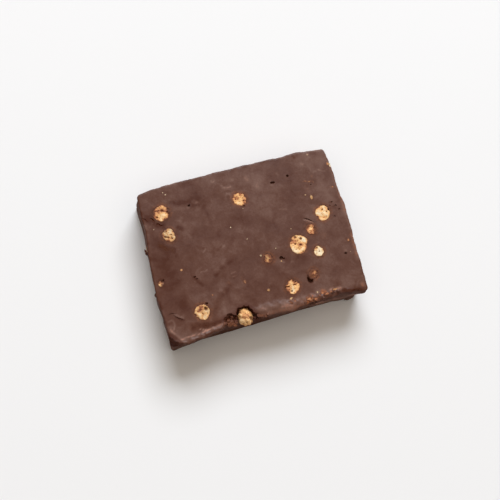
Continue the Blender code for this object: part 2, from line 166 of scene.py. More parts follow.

# How each crisp in the top looks, in millimetres from the middle of its cut face, right and up as the camera
# sees it. The outline is the cut face's radius every 30 degrees, counter-clockwise from the right. Toast runs
# from 0, cream, to 1, brown; smear is how much chocolate lies over it. A pore is (right, up, radius), and a
# patch is (right, up, radius, toast, smear), each added to the crisp's own. Pores and splits are painted dark
# inside, as painted shade. Folds are soft brown furrows, and glow is how much the chocolate round the crisp
# is stained. A crisp in a wall is seen square to the wall.
CRISP_LOOKS = {
    "crisp_top_01": {
        "outline": (2.8, 2.7, 2.5, 2.6, 2.3, 2.45, 2.7, 2.8, 2.8, 2.8, 2.8, 2.8),
        "toast": 0.8,
        "smear": 0.26,
        "pores": ((0.1, 0.65, 0.33), (1.8, 0.25, 0.28), (2.1, -0.2, 0.2), (-1.2, -1.4, 0.3)),
        "patches": (
            (0.3, 2, 0.8, -0.3, -0.2), (-1.2, 1.2, 0.6, -0.1, 0), (1.3, 1.6, 0.6, 0.1, 0),
            (2.3, 0.7, 0.7, 0.25, 0.4), (-2.3, -0.3, 0.6, 0.25, 0.35), (1.2, -0.5, 0.7, -0.35, 0),
            (0.2, -2.3, 0.6, -0.4, 0), (-1, -2.1, 0.5, 0.1, 0.1),
        ),
        "folds": (
            ((-2.5, 0.4), (-1, 0.6), (0.6, 0.6), (1.8, 0.1), (2.6, -0.4)),
            ((-2.4, -0.8), (-1.5, -1.4), (-0.6, -1.6)), ((-0.9, 1), (-0.5, 1.9)),
        ),
    },
    "crisp_top_02": {
        "outline": (2.1, 2.15, 2.15, 2.35, 2.1, 2, 2.25, 2.2, 2.15, 2.2, 2.55, 2.6),
        "toast": 0.4,
        "smear": 0.42,
        "pores": ((-0.9, -0.7, 0.36), (-0.1, -0.8, 0.34), (1.1, -1, 0.32), (0.9, 0.1, 0.2)),
        "patches": (
            (-0.9, 1.1, 0.5, 0.3, 0.3), (-1.8, -0.2, 0.6, 0.2, 0.2), (0.3, 0.3, 0.8, -0.15, 0),
            (1.7, 1.4, 0.5, 0.3, 0.4), (-0.2, -1.8, 0.8, 0.25, 0), (1.6, -1.8, 0.5, -0.1, 0),
        ),
        "folds": (((-1.8, 0), (-1.1, -0.6), (-0.1, -0.85), (1, -1)), ((-0.8, 1.2), (-0.6, 0.3))),
    },
    "crisp_top_03": {
        "outline": (2.2, 2.1, 2.15, 2, 2.3, 2.3, 2.2, 2.1, 1.95, 2.1, 2.2, 2.3),
        "toast": 0.57,
        "smear": 0,
        "pores": ((-1.2, -0.1, 0.2), (1.3, -0.5, 0.2)),
        "patches": (
            (-1.2, 0.9, 0.8, 0, 0), (0.2, 0.9, 0.6, -0.1, 0), (-1.4, -0.8, 0.5, -0.1, 0),
            (1.5, 0.8, 0.5, 0.12, 0.08), (0.2, -1.2, 0.8, -0.1, 0),
        ),
        "folds": (((0.3, 1.4), (0.4, 0.5)), ((1.1, -0.3), (1.3, -1)), ((-1.4, 0.2), (-0.8, -0.5))),
    },
    "crisp_top_04": {
        "outline": (2.5, 2.3, 2.45, 2.45, 2.3, 2.4, 2.3, 2.2, 2.5, 2.7, 2.6, 2.55),
        "toast": 0.3,
        "smear": 0,
        "pores": ((0, 1, 0.28), (2, 1.1, 0.42), (1.3, 0.4, 0.2)),
        "patches": (
            (2, 1.1, 0.6, 0.6, 0.4), (-1.8, 1.3, 0.6, 0.35, 0.1), (-1.5, -1.7, 0.7, 0.45, 0.3),
            (0.3, -2.1, 0.7, -0.15, 0), (0.6, -1.3, 0.6, 0.25, 0), (2, -0.8, 0.6, 0.2, 0.1),
        ),
        "folds": (
            ((0, 1.6), (-0.1, 0.6)), ((-1.5, -1.5), (-0.6, -1.3), (0.3, -1.6), (1.2, -1.3)),
            ((1, 0.6), (1.4, -0.2)),
        ),
    },
    "crisp_top_05": {
        "outline": (2.65, 3.25, 3.15, 3, 3.1, 2.8, 2.6, 2.6, 2.85, 3.1, 3.1, 2.75),
        "toast": 0.56,
        "smear": 0,
        "pores": (
            (0.75, 1.8, 0.38), (-0.9, 2.2, 0.28), (-0.9, 0.15, 0.26), (0.8, 0.05, 0.2), (1.5, -2.2, 0.26),
            (-0.2, 1.3, 0.16), (0.1, -0.9, 0.16), (-0.5, -1.5, 0.14),
        ),
        "patches": (
            (1.9, 1.4, 0.85, -0.6, 0), (-1.7, -1.9, 0.9, -0.55, 0), (-0.4, -2.6, 0.8, -0.5, 0),
            (-1.1, 2.8, 0.5, -0.4, 0), (0.5, 2.5, 0.5, -0.3, 0), (1.4, -1.2, 0.5, -0.3, 0),
            (-0.4, 1.6, 0.6, 0.2, 0), (0.6, 0.2, 0.7, 0.2, 0), (-1.8, 1, 0.6, 0.1, 0),
        ),
        "folds": (
            ((-1.6, 1.1), (-0.7, 1), (0.2, 1.2)), ((-1.5, 0.3), (-0.9, 0.1)), ((0.3, 0.1), (1.1, -0.1)),
            ((-0.4, -1.1), (0.2, -1.4), (1, -1.2)), ((-1.6, 2.2), (-0.6, 2.1)),
        ),
    },
    "crisp_top_06": {
        "outline": (1.75, 1.6, 1.45, 1.8, 1.9, 1.75, 1.6, 1.6, 1.6, 1.7, 1.75, 1.7),
        "toast": 0.1,
        "smear": 0.22,
        "pores": ((0.15, 0, 0.2), (-0.55, 1.1, 0.24)),
        "patches": (
            (-0.8, 1.2, 0.5, 0.6, 0.2), (-1.4, 0.5, 0.5, 0.35, 0.25), (1.6, 0.5, 0.4, 0.4, 0.2),
            (1.6, -1, 0.5, 0.4, 0.3), (0.2, -1.6, 0.5, 0.25, 0.1),
        ),
        "folds": (((-1.2, 0.9), (-0.4, 0.8)),),
    },
    "crisp_top_07": {
        "outline": (2.3, 2.4, 2.3, 2.45, 2.3, 2.15, 2.4, 2.4, 2.4, 2.45, 2.4, 2.3),
        "toast": 0.6,
        "smear": 0.14,
        "pores": ((-0.2, -1.4, 0.3), (0.1, 1.7, 0.26), (0.9, 1.4, 0.24)),
        "patches": (
            (-2, 0.6, 0.5, 0.3, 0.14), (-1.9, -0.9, 0.7, 0.22, 0), (0.9, 1.5, 0.7, 0.3, 0.1),
            (1.9, 1.2, 0.5, 0.2, 0.12), (-1.3, -1.6, 0.5, 0.2, 0), (1, -1, 0.9, -0.3, 0),
            (-0.5, -1.5, 0.6, -0.15, 0), (-0.4, 1.1, 0.6, -0.15, 0),
        ),
        "folds": (((-2.4, -0.3), (-1.2, 0), (0, 0.4), (1.1, 0.7), (2, 1.4)), ((0.1, 1.9), (0.4, 1))),
        "cracks": (((-2.2, -0.35), (-1, 0)), ((0.2, 0.45), (1, 0.65))),
    },
    "crisp_top_08": {
        "outline": (2.75, 2.7, 2.6, 2.5, 2.4, 2.45, 2.5, 2.3, 2.25, 2.5, 2.9, 2.8),
        "toast": 0.48,
        "smear": 0.41,
        "pores": ((1.25, 0.95, 0.5), (1, 1.25, 0.35), (-0.3, 0.6, 0.2), (0.2, -0.45, 0.2)),
        "patches": (
            (-0.4, 1.7, 0.8, 0.3, 0.05), (0.3, 1.5, 0.5, 0.16, 0), (-0.5, 0.9, 0.5, 0.16, 0),
            (-0.9, 0.2, 0.6, 0.16, 0.1), (1.3, 1.9, 0.45, -0.1, 0), (-2.3, -0.9, 0.5, 0.4, 0.2),
            (0.3, -1.6, 1.2, -0.1, 0),
        ),
        "folds": (
            ((-0.9, 0), (0, -0.5), (0.7, -0.7)), ((-0.6, 1.3), (-0.5, 0.4), (0.2, 0)),
            ((-2.3, -0.7), (-1.2, -1.1)),
        ),
    },
    "crisp_top_09": {
        "outline": (1.65, 1.55, 1.65, 1.7, 1.9, 1.9, 1.75, 1.6, 1.65, 1.9, 2.05, 1.8),
        "toast": 0.84,
        "smear": 0.25,
        "pores": ((-0.3, -0.5, 0.16),),
        "patches": (
            (-0.8, 0.9, 0.6, 0.15, 0.3), (1.1, 0.7, 0.5, 0.1, 0.3), (0.4, -1, 0.5, -0.15, -0.1),
            (-0.2, 0.2, 0.5, -0.1, -0.1),
        ),
        "folds": (((-0.9, 0.4), (0, 0.8)),),
    },
    "crisp_top_10": {
        "outline": (1.7, 1.5, 1.8, 1.8, 1.75, 1.4, 1.3, 1.45, 1.6, 1.5, 1.7, 1.75),
        "toast": 0.8,
        "smear": 0.62,
        "pores": ((-0.9, 0.5, 0.2),),
        "patches": (
            (-0.1, -0.4, 0.45, -0.2, -0.26), (0.9, 0.2, 0.9, 0.05, -0.06),
        ),
        "glow": 0.5,
        "folds": (((-0.8, 1.1), (0.2, 0.9), (0.9, 0.3)),),
    },
    "crisp_top_11": {
        "outline": (1.5, 1.5, 1.55, 1.75, 1.6, 1.5, 1.6, 1.8, 1.8, 1.7, 1.65, 1.55),
        "toast": 0.98,
        "smear": 0.48,
        "pores": (),
        # The first patch is a painted highlight on the crisp's lump.
        "patches": ((0.5, 0.75, 0.5, -0.18, -0.02), (-0.2, -0.9, 0.9, 0.12, -0.2)),
    },
    "crisp_top_12": {
        "outline": (0.95, 1, 1.05, 1.1, 1.05, 1, 0.95, 1, 1, 1.05, 1, 0.95),
        "toast": 0.66,
        "smear": 0.66,
        "glow": 0.3,
        "pores": ((0.4, 0.75, 0.36),),
        "patches": ((-0.3, -0.2, 0.45, -0.2, -0.3), (0.5, -0.3, 0.4, 0.1, 0.2)),
    },
    "crisp_rim_01": {
        "outline": (1.5, 1.2, 1.5, 1.2, 1.6, 1.3, 1.5, 1.2, 1.5, 1.3, 1.6, 1.3),
        "toast": 1,
        "smear": 0.4,
        "pores": ((0.5, 0.2, 0.3),),
        "patches": ((-0.5, 0.6, 0.4, -0.3, -0.3),),
    },
    "crisp_left_02": {
        "outline": (2.1, 2, 2.1, 2, 1.9, 2, 2.1, 2.1, 2, 2.1, 2.2, 2.1),
        "toast": 0.7,
        "smear": 0.78,
        "pores": ((0.5, -0.9, 0.3), (-0.8, -0.2, 0.24)),
        "patches": ((0.2, -1.1, 0.8, -0.2, -0.45), (-0.7, -0.3, 0.5, -0.1, -0.3)),
    },
}
HIDDEN_TOAST, HIDDEN_SMEAR = (0.2, 0.6), (0.0, 0.3)  # of the crisps in the walls and underside
HIDDEN_PORE = (0.2, 0.45)  # their pores' radii, in millimetres
HIDDEN_OUTLINE, HIDDEN_SPREAD = (0.87, 1.1), 0.6  # in radii: their outline, and how far out pores lie
HIDDEN_PATCH = ((-0.3, 0.4), (-0.1, 0.4))  # the toast and smear of their patches
USUAL_GLOW = 0.7
BURIED = (0.9, 0.8, 0.0)  # toast, smear and painted shade in hollows of a crisp below its cut face

# A crisp's cut face. A ragged edge has a size and how much it sways the distance from it.
OUTLINE_GRAIN, OUTLINE_WAVES = 0.7 * MM, ((1.0, 0.05), (2.7, 0.03))
CELL = 0.62 * MM  # of its foam
CELL_DEPTH = 0.11 * MM
CELL_PIT, CELL_WALL = (0.42, 0.3), 0.25  # shares of a cell: its pit's reach and edge, and its wall's width
# A foam cell's pit is painted darker and browner, as painted shade, and its walls a little paler.
PIT_SHADE, PIT_TOAST, WALL_TOAST = 0.42, 0.12, 0.08
TOAST_WAVES = ((0.8 * MM, 0.2), (1.5 * MM, 0.3))
FACE_WAVE = (1.1 * MM, 0.16 * MM, 5.5)
PORE_EDGE, PORE_FADE, PORE_DEPTH, PORE_RAGGED = 1.2, 0.55, 1.1, (0.3 * MM, 0.3)  # in radii
FOLD_WIDTH, FOLD_DEPTH, FOLD_TOAST, FOLD_RAGGED = 0.26 * MM, 0.08 * MM, 0.2, (0.6 * MM, 0.5)
SPLIT_WIDTH, SPLIT_DEPTH, SPLIT_EDGE, SPLIT_RAGGED = 0.2 * MM, 0.35 * MM, 1.3, (0.5 * MM, 0.5)
RIM_TOAST, RIM_SMEAR = 1.0 * MM, 0.5 * MM  # how far in a cut crisp is browner, and smeared with chocolate
RIM_BROWNER, RIM_SMEARED, RIM_LOWER, RIM_RAGGED = 0.36, 0.8, 0.06 * MM, (0.8 * MM, 0.6)
LARGE_CRISP = 2.3 * MM  # the radius from which its rim is as wide as it gets
FACE_STEP, RING_STEP, SOCKET_STEP = 0.15 * MM, 0.11 * MM, 0.3 * MM  # between mesh lines
RINGS_BELOW, SOCKET_RINGS = 9, 8
TUCK = 0.97  # a socket's size against its crisp's
SOCKET_REACH = 1.5 * MM  # how far a socket's cutter stands out of the face

# Pieces broken out of the chocolate: middle and three radii, in millimetres.
BREAKS = (
    ((-32.1, -25.2, 14.2), (4.1, 4.1, 4.6)),  # the front left corner, down to a ledge
    ((-7.2, -21.05, 13.5), (2.85, 3.15, 4.2)),  # round the bare crisp
    ((-11.7, -20.9, 14.4), (2.4, 1.7, 1.8)),  # the pit to the left of it, inside the rim
    ((-4.6, -22.2, 13.0), (1.5, 1.5, 2.0)),  # and the gap to the right
    ((14.5, -14.8, 14.0), (0.95, 1.35, 1.6)),  # the hole beside a small crisp
)
BREAK_LUMPS = ((1.5, 0.2), (3.7, 0.18), (9.0, 0.09))  # lumps to the radius, and how high they stand
PORE_LUMPS = ((1.3, 0.25), (3.5, 0.1))

# Small pores in the top, in millimetres: place along X and Y, two radii and depth.
TOP_PORES = (
    (-15.2, 15.7, 0.42, 0.36, 0.7), (11.2, 16.6, 0.75, 0.42, 0.8), (16.2, 17.6, 0.42, 0.4, 0.6),
    (7.7, -6.5, 0.62, 0.5, 0.9), (8.4, -6.9, 0.4, 0.25, 0.4), (27.1, -9.8, 0.45, 0.36, 0.6),
    (-19, -5.9, 0.42, 0.3, 0.5), (-18.5, -6.6, 0.3, 0.2, 0.3), (22.5, 13.3, 0.26, 0.22, 0.3),
    (27.2, 6.5, 0.3, 0.25, 0.3), (28.1, 5.2, 0.42, 0.3, 0.35), (28.9, 3.8, 0.3, 0.26, 0.3),
    (26.4, 5.6, 0.24, 0.2, 0.25), (-28.3, -4.6, 0.3, 0.26, 0.5), (0.9, 11.6, 0.34, 0.28, 0.3),
    (-17.6, -14.5, 0.5, 0.4, 0.7), (26.9, 2, 0.3, 0.24, 0.3),
)
# Cracks in the top: how wide, how deep, and the places along each, in millimetres.
CRACKS = (
    (0.34, 0.4, ((17.5, 3.6), (18.9, 2.9), (20.3, 1.9))),
    (0.3, 0.3, ((-28, -15.6), (-27.3, -16.3), (-26.3, -17), (-25.3, -17.7))),
    (0.2, 0.2, ((-29.6, -15.2), (-28.8, -14.9), (-27.8, -14.9), (-27, -15.5))),
    (0.5, 0.2, ((-30.4, 16.2), (-29.7, 14.9), (-29.1, 14.7), (-28.5, 13.7))),
    (0.5, 0.22, ((-27.6, 14.6), (-26.9, 14.3), (-26.4, 13.2))),
    (0.5, 0.24, ((-26.2, 12.4), (-25.5, 12.3), (-25, 11.7), (-24, 11.7))),
)
# A crack's waves, to the millimetre: how far they carry it in millimetres, and how much they widen it.
CRACK_WANDER, CRACK_SWELL = (1.3, 0.12), (2.1, 0.4)
CRACK_TIP, CRACK_WEDGE = 0.2, (0.8, 0.3)  # shares: its ends' width, and its width at a share of its depth
CRACK_STEP = 0.25 * MM
CRACK_PROUD = 0.2 * MM  # how far a crack's cutter stands out of the top
# How far apart in the noise the lumps of one such piece and of the next are taken from.
BREAK_SEED, PORE_SEED, CRUMB_SEED, FLAKE_SEED = 1.9, 3.3, 3.1, 2.7

# Marks on the chocolate: how much paler (above 0) or darker they make it, how much rust-coloured stain they
# carry, half their width and the places along each, in millimetres. Those below the top have heights as well.
# Many of the pale marks are painted highlights and some of the dark ones painted shade, as each group says.
MARKS = (
    # Broad: paler towards the back and right, darker and redder to the left and the front; partly the
    # chocolate's own tone and partly painted sheen from the light behind the slab.
    (-0.36, 0, 5, ((-26, 14), (-27, 2), (-26, -10))), (-0.22, 0, 4.5, ((-19, 0), (-18, -7))),
    (-0.2, 0, 4, ((-12, 19), (-5, 18))), (0.05, 0, 6, ((2, 19), (12, 19), (24, 18))),
    (0.14, 0, 5, ((26, 14), (26, 4))), (0.2, 0, 3.5, ((25, -2), (27, -17))),
    (-0.35, 0.04, 1.6, ((-29.5, 3), (-28.2, 0.8), (-28.6, -3))),
    (-0.4, 0.04, 2.4, ((-28, -8), (-27, -12), (-24, -13.5))), (-0.12, 0.03, 3.5, ((-5, -14), (6, -12.5))),
    (-1, 0, 2.2, ((-25.5, -3.6), (-25, -5.6))), (-0.5, 0, 1.4, ((-24.4, -13.4), (-23.4, -14.4))),
    (-0.4, 0, 2.6, ((3, -14), (5.4, -13.6))), (-0.3, 0, 2.4, ((25.6, -9.6), (26.6, -10.6))),
    (-0.4, 0, 1, ((-11.2, 16.6), (-10.6, 14), (-10.4, 11.4))), (0.5, 0, 2.6, ((21, 0.6), (22.6, -0.6))),
    (0.4, 0, 2.6, ((25.4, 10.8), (26.8, 9))), (0.6, 0, 3, ((22, 20.6), (26, 19.6))),
    (0.35, 0, 2.4, ((3.4, 18.4), (6.4, 17.6))),
    # A painted highlight along the lit right rim, with a little rust stain.
    (0.9, 0.1, 0.9, ((30.2, 21), (30.6, 12), (30.9, 2), (31, -6), (30.8, -12))),
    # A smooth pale band from the middle to the front left, with a dark line of spots behind it.
    (0.24, 0, 1.6, ((-0.6, -1.2), (-3.8, -5.4), (-7.6, -8))),
    (0.18, 0, 1.4, ((-9.5, -8.8), (-12.4, -11), (-14.6, -13.2))),
    (-0.3, 0, 0.9, ((-13.2, -7.6), (-9.5, -5), (-5.8, -3.3))),
    (-0.56, 0, 0.55, ((-12.8, -7), (-11.6, -6.4))), (-0.56, 0, 0.5, ((-10.8, -5.4), (-10, -5.2))),
    (-0.5, 0, 0.5, ((-8.2, -4.3), (-7.2, -3.9))),
    (-0.56, 0.06, 0.9, ((-9.2, -10.8), (-11.6, -12.6), (-13.6, -14.2))),
    (-0.81, 0.1, 1, ((-14.6, -15), (-15.8, -17.4), (-16.4, -18.6))),
    (-1.7, 0.25, 1.1, ((-23, -20.4), (-20.4, -20.7), (-18, -21), (-14.8, -20.8))),
    (0.9, 0, 0.6, ((-12.4, -11.6), (-11.6, -12.4))), (0.8, 0, 1, ((-29.6, -19.2), (-28.6, -20.6))),
    (0.22, 0, 1.6, ((-27.2, -20.4), (-24.6, -19.6), (-22.4, -19.2))),
    (0.25, 0, 0.8, ((-11.8, -17), (-12.6, -17.6))),
    # The dark smear round a pore at the back left.
    (-1.06, 0, 0.75, ((-20.2, 17.8), (-18.3, 17.1), (-16.2, 17), (-14.8, 16.6))),
    (-1.25, 0.12, 0.8, ((-13.6, 17.7), (-12.4, 17.3))), (-0.5, 0.15, 0.6, ((-13.2, 19.2), (-12.4, 18.9))),
    (-1, 0.06, 0.5, ((-14, 15.4), (-12.4, 15.1))), (0.9, 0.1, 0.3, ((-12.9, 16.1), (-12.5, 16.1))),
    (0.9, 0, 0.3, ((-15.8, 15), (-15.5, 15.1))),
    (-0.44, 0, 0.45, ((-11.5, 14.3), (-10.6, 12.5), (-10.2, 10), (-10.1, 7.5))),
    (-0.5, 0, 0.35, ((-10.1, 17.5), (-9.9, 17.4))),
    # Round the two crisps at the left.
    # The dark line along the crags is painted shade, and the small pale spot on them a painted highlight.
    (-1, 0, 0.9, ((-28.4, 14.8), (-27, 13.4), (-25.6, 12.2), (-24.4, 11.7))),
    (0.45, 0, 0.7, ((-29.9, 12.6), (-28.6, 12.1))), (1.08, 0, 0.25, ((-27.4, 13.1), (-27.2, 13))),
    (-1.25, 0, 0.45, ((-30.4, 10.9), (-30.2, 10.2))),
    (-2, 0.4, 0.7, ((-26.4, 5.6), (-24.6, 4.3), (-23, 3.5))),
    (-0.62, 0.15, 1.3, ((-26.6, 6.4), (-25, 3.6))), (-1.6, 0, 0.7, ((-19.9, 9.8), (-19.1, 9.3))),
    (-0.62, 0, 0.5, ((-20.6, 8.6), (-20.9, 8))), (0.54, 0, 0.45, ((-19.6, 12), (-18.8, 11.7))),
    (0.54, 0, 0.3, ((-18.5, 12.8), (-18.2, 12.6))), (0.54, 0, 0.35, ((-19.9, 20.1), (-19.5, 19.9))),
    (0.25, 0, 0.35, ((-20.4, 18.7), (-20, 18.5))),
    # A painted highlight along the left rim.
    (1.6, 0, 0.35, ((-30.6, 15.2), (-30.7, 13), (-30.8, 10.8))),
    (-2.4, 0, 0.5, ((-31.3, 5.9, 12), (-31.3, 4.4, 12))),
    (-2.4, 0, 0.5, ((-31.4, -8.3, 11.6), (-31.4, -8.9, 11.2))),
    (-0.8, 0, 0.35, ((-30.9, -10.8), (-30.8, -12.8))),
    # Trails and scratches.
    (-0.88, 0, 0.4, ((-19, -6.2), (-18.2, -7.6), (-17.4, -9))),
    (-0.44, 0, 0.9, ((-17.8, -8.6), (-17, -9.4))),
    # The pale lines along the scratches are painted highlights, and the dark lines beside them painted shade.
    (0.9, 0, 0.2, ((-16.8, -4.9), (-15.6, -5), (-14.8, -4.7))),
    (0.81, 0, 0.25, ((-14.6, 0.8), (-13.8, 1.4))), (-0.62, 0, 0.25, ((-14.4, 1.9), (-14.1, 1.9))),
    (0.9, 0, 0.3, ((-8.5, 0.9), (-8.1, 1.1))), (-0.56, 0, 0.3, ((-9.2, 1), (-8.9, 1.1))),
    (-0.44, 0, 0.4, ((-10.4, 0.3), (-10, 0.4))),
    (0.72, 0.1, 0.17, ((-8.3, -7.6), (-7.2, -7.3), (-6.4, -7.5))),
    (0.72, 0.1, 0.16, ((-8, -8.6), (-6.8, -8.4))), (-0.56, 0.06, 0.17, ((-8.2, -8.1), (-6.8, -7.9))),
    (-0.5, 0.06, 0.16, ((-7.8, -9.1), (-6.6, -8.9))), (-0.5, 0.35, 0.45, ((-5.3, -9.6), (-4.9, -11.2))),
    (0, 0.5, 0.35, ((-9.9, -10), (-9.4, -10.2))),
    # Along the crack at the front left: its pale upper edge and the pale line by the rim are painted
    # highlights, the dark line below it painted shade.
    (1.26, 0, 0.22, ((-27.4, -15.4), (-26.3, -16.4), (-25.3, -17.1))),
    (-0.88, 0, 0.25, ((-27.4, -16.5), (-26.4, -17.2), (-25.4, -17.8))),
    (0.72, 0, 0.3, ((-25.6, -16.4), (-25, -16.3))),
    (0.8, 0, 0.25, ((-30, -17.1), (-28.7, -16.8), (-28.2, -18.2), (-28.9, -19.8))),
    # Swirls and pale spots along the back.
    (0.99, 0, 0.22, ((-6.9, 21.6), (-6.6, 20.9), (-5.8, 21.3))),
    (1.17, 0, 0.25, ((-4.2, 19.4), (-3.7, 18.6), (-2.6, 18.3), (-1.5, 18.4))),
    (0.9, 0, 0.25, ((-3.2, 16.6), (-2.4, 16.2))), (-0.5, 0, 0.3, ((-3.4, 17.4), (-2.2, 17.2))),
    (-0.5, 0, 0.3, ((-3.3, 15.6), (-2.6, 15.5))), (0.72, 0, 0.45, ((-0.8, 20.5), (-0.3, 20.3))),
    (0.81, 0.15, 0.55, ((3.6, 20), (3.9, 19.3))), (0.9, 0, 0.4, ((13.3, 19.1), (13.5, 18.7))),
    (0.72, 0, 0.3, ((11, 15.9), (10.7, 16))), (0.72, 0, 0.4, ((21.2, 20.3), (21.7, 20))),
    # A pale spot, and a bright crescent that is a painted highlight.
    (0.9, 0, 0.22, ((24.4, 17), (25.1, 16.9))), (1.08, 0, 0.25, ((26, 17.2), (27, 16.6), (27.8, 16.3))),
    (1.08, 0, 0.3, ((23.9, 22.9), (24.3, 22.7))), (0.63, 0, 0.2, ((24, 21.8), (24.6, 21.5))),
    # Along the back rim: dark red bits, and pale bits that are painted highlights on its crumbly edge.
    (-0.88, 0.1, 0.3, ((-14, 23.7), (-12.6, 23.6))), (0.9, 0.2, 0.25, ((-20, 23.4), (-17, 23.6))),
    (-0.88, 0.1, 0.3, ((-2.6, 23.9), (-0.3, 23.8))), (-0.88, 0.15, 0.3, ((3.4, 23.9), (5.2, 23.8))),
    (-1, 0.2, 0.35, ((8.6, 23.9), (10.2, 23.6))), (1.08, 0.15, 0.3, ((14.2, 23.9), (16, 23.9))),
    (-1.25, 0.25, 0.4, ((19.4, 23.3), (19.7, 22.7))), (0.9, 0.1, 0.3, ((26, 23.4), (28.4, 23.2))),
    # Rust-coloured streaks and pale spots at the right.
    (0.1, 0.75, 0.22, ((20.5, 14.8), (21.6, 14.4), (22.6, 14.3), (23.2, 14.1))),
    # A dark spot, and a white spot that is a painted highlight.
    (-0.62, 0.2, 0.2, ((22.8, 13.9), (23.3, 13.7))), (1.26, 0, 0.2, ((22.4, 13.4), (22.6, 13.3))),
    (0.2, 0.35, 0.25, ((23.4, 15.8), (23.7, 15.6))), (0.1, 0.2, 0.8, ((20.8, 12.8), (21, 11.8))),
    (0.63, 0.25, 0.35, ((28.2, 11), (28.6, 10.8))), (0.72, 0, 0.3, ((13.6, 11), (13.9, 10.8))),
    (0.63, 0.12, 0.22, ((11.2, 8.1), (12.2, 7.8), (13.2, 7.6))),
    (0.54, 0, 0.3, ((12.8, 6), (14.2, 5.6), (15.3, 5.3))),
    # The pale line along the crack is a painted highlight.
    (2.16, 0, 0.18, ((17.4, 3.2), (18.6, 2.6), (19.9, 1.95))),
    (-0.75, 0.1, 0.35, ((26.7, 6.6), (27, 6.3))), (-0.88, 0.1, 0.4, ((27.4, 5), (27.8, 4.6))),
    (-0.62, 0.1, 0.3, ((28.9, 4.1), (29.1, 3.9))), (-0.38, 0.3, 0.5, ((26.2, 5.2), (26.3, 4.2))),
    (0.15, 0.5, 0.5, ((30.1, 18.6), (30.2, 16.4))), (0.25, 0.3, 0.5, ((30.2, 12), (30.4, 8), (30.4, 3))),
    (0.2, 0.55, 0.5, ((30.2, -4.6), (30.4, -8), (30.3, -11))),
    (-0.62, 0.2, 0.4, ((28.5, -5.6), (29, -6.2))), (0.1, 0.15, 1.1, ((21.8, -2.8), (22.2, -3.2))),
    # Round the crisps at the front right.
    (1.26, 0, 0.2, ((7.2, -7.4), (8.2, -8.1))), (0.72, 0, 0.35, ((10.4, -8.4), (11, -8.4))),
    (-0.62, 0, 0.2, ((8.4, -7), (9.2, -7.2))), (-0.44, 0, 0.7, ((12.8, -7.4), (14.6, -8))),
    (-1, 0.25, 0.35, ((18.6, -9), (20, -9.1))), (0.72, 0, 0.3, ((22.5, -9.2), (22.8, -9.3))),
    (0.63, 0.1, 0.35, ((27.2, -8.9), (27.5, -9.1))),
    (-0.1, 0.7, 0.8, ((3.2, -4.4), (4.6, -4.6), (5.3, -6.2))),
    (-0.1, 0.5, 0.5, ((2.9, -5.6), (3.2, -6.8))), (0.1, 0.3, 0.5, ((6.8, -19.6), (8.2, -20.2))),
    (0.6, 0.1, 1, ((8.8, -19.9), (11, -20))),
    # Along the front lip and shoulder: painted highlights on the lip, and rust stain at its right end.
    (1.1, 0.05, 0.35, ((-29.9, -19.6), (-29.2, -20.8), (-28.5, -21.8), (-27.6, -23))),
    (1.5, 0.1, 0.24, ((-27.4, -23.2), (-26.3, -23), (-24.5, -22.8), (-21.8, -22.8))),
    (2, 0.05, 0.28, ((-21, -22.6), (-19, -22.3), (-17.6, -22.1))),
    (1.4, 0.15, 0.24, ((-17.4, -22.1), (-16.1, -21.9), (-14.4, -21.5))),
    (2, 0, 0.18, ((-21.5, -21.4), (-20.4, -21.8), (-19.3, -22.3))),
    (1.2, 0, 0.4, ((-15.2, -21.7), (-13.8, -21.5))),
    (0.2, 1, 0.55, ((-13.4, -21.9), (-12.2, -22), (-11, -22.2))),
    # In the broken corner: painted shade under the lip, and a ledge painted paler as painted light.
    (-0.6, 0.15, 0.6, ((-31, -20.6, 12.8), (-29.9, -21.8, 12.4), (-28.8, -22.9, 12.4), (-27.6, -23.9, 12.8))),
    (-2, 0, 0.7, ((-31.2, -22.4, 10.4), (-30.4, -23.6, 9.8), (-28.8, -24.2, 9.8), (-26.8, -24, 10.4))),
    (1.1, 0.1, 1.5, ((-31, -24, 6.4), (-28.4, -24.4, 6.4))),
    # The wall under the left half of the lip, painted darker as painted shade under the lip, with a little
    # rust stain.
    (-1, 0.15, 1.2, ((-27, -23.4, 10.4), (-21, -22.8, 10.4), (-14.5, -22.2, 10.4))),
    # In the pit and beside the bare crisp: olive brown stain, and painted shade inside.
    (-0.8, 0.5, 0.9, ((-13, -21, 13), (-11.6, -20.4, 12.6), (-10.6, -20, 12.8))),
    # The wall under the right half of the lip, painted paler for the light that the floor throws on it, and
    # darker just under the top at the right corner.
    (0.7, 0, 3, ((4, -20.6, 3), (10, -20.7, 3), (15, -20.8, 3))),
    (1.6, 0, 3.2, ((17, -20.9, 3.2), (23, -21, 3.6), (30, -21.5, 4))),
    (-1.2, 0, 0.7, ((28.8, -21.4, 12.4), (30.2, -21.6, 12), (30.8, -20.6, 12))),
    # The lip: painted shade in the dark line behind its right end, painted highlights on its pale ridge, its
    # shoulder and its right corner, and rust round the crisp broken open in it.
    (-2.5, 0.3, 0.35, ((23.2, -20.5), (25.6, -21), (28.4, -21.6))),
    (1.2, 0.1, 0.35, ((4, -21), (5.6, -20.9), (7, -21.2))),
    (0.75, 0.3, 0.8, ((-2.4, -22.2), (4, -22.1), (11, -21.9))),
    (0.7, 0, 0.9, ((-2.6, -19.9), (1, -20.2), (6, -20.4), (10.4, -20.4))),
    (0.7, 1.3, 0.6, ((12.3, -20.7), (13.6, -20.1), (14.4, -20.8), (15.2, -21.6))),
    (0.8, 1.1, 0.7, ((12, -21.4), (14.2, -21.8))),
    (0.5, 1.1, 0.6, ((17, -19.3), (17.8, -19.8), (18, -20.6))),
    (1.8, 0.4, 0.45, ((19.6, -19.5), (22.6, -19.7))), (1.26, 0.05, 0.35, ((15.3, -19.2), (15.6, -19.4))),
    (-0.5, 0.15, 0.6, ((21.8, -17.8), (22.2, -18.2))), (0.9, 0.6, 0.5, ((29.4, -20.1), (29.6, -20.7))),
    (-0.88, 0, 0.6, ((28.4, -21.2), (29.2, -21.6))),
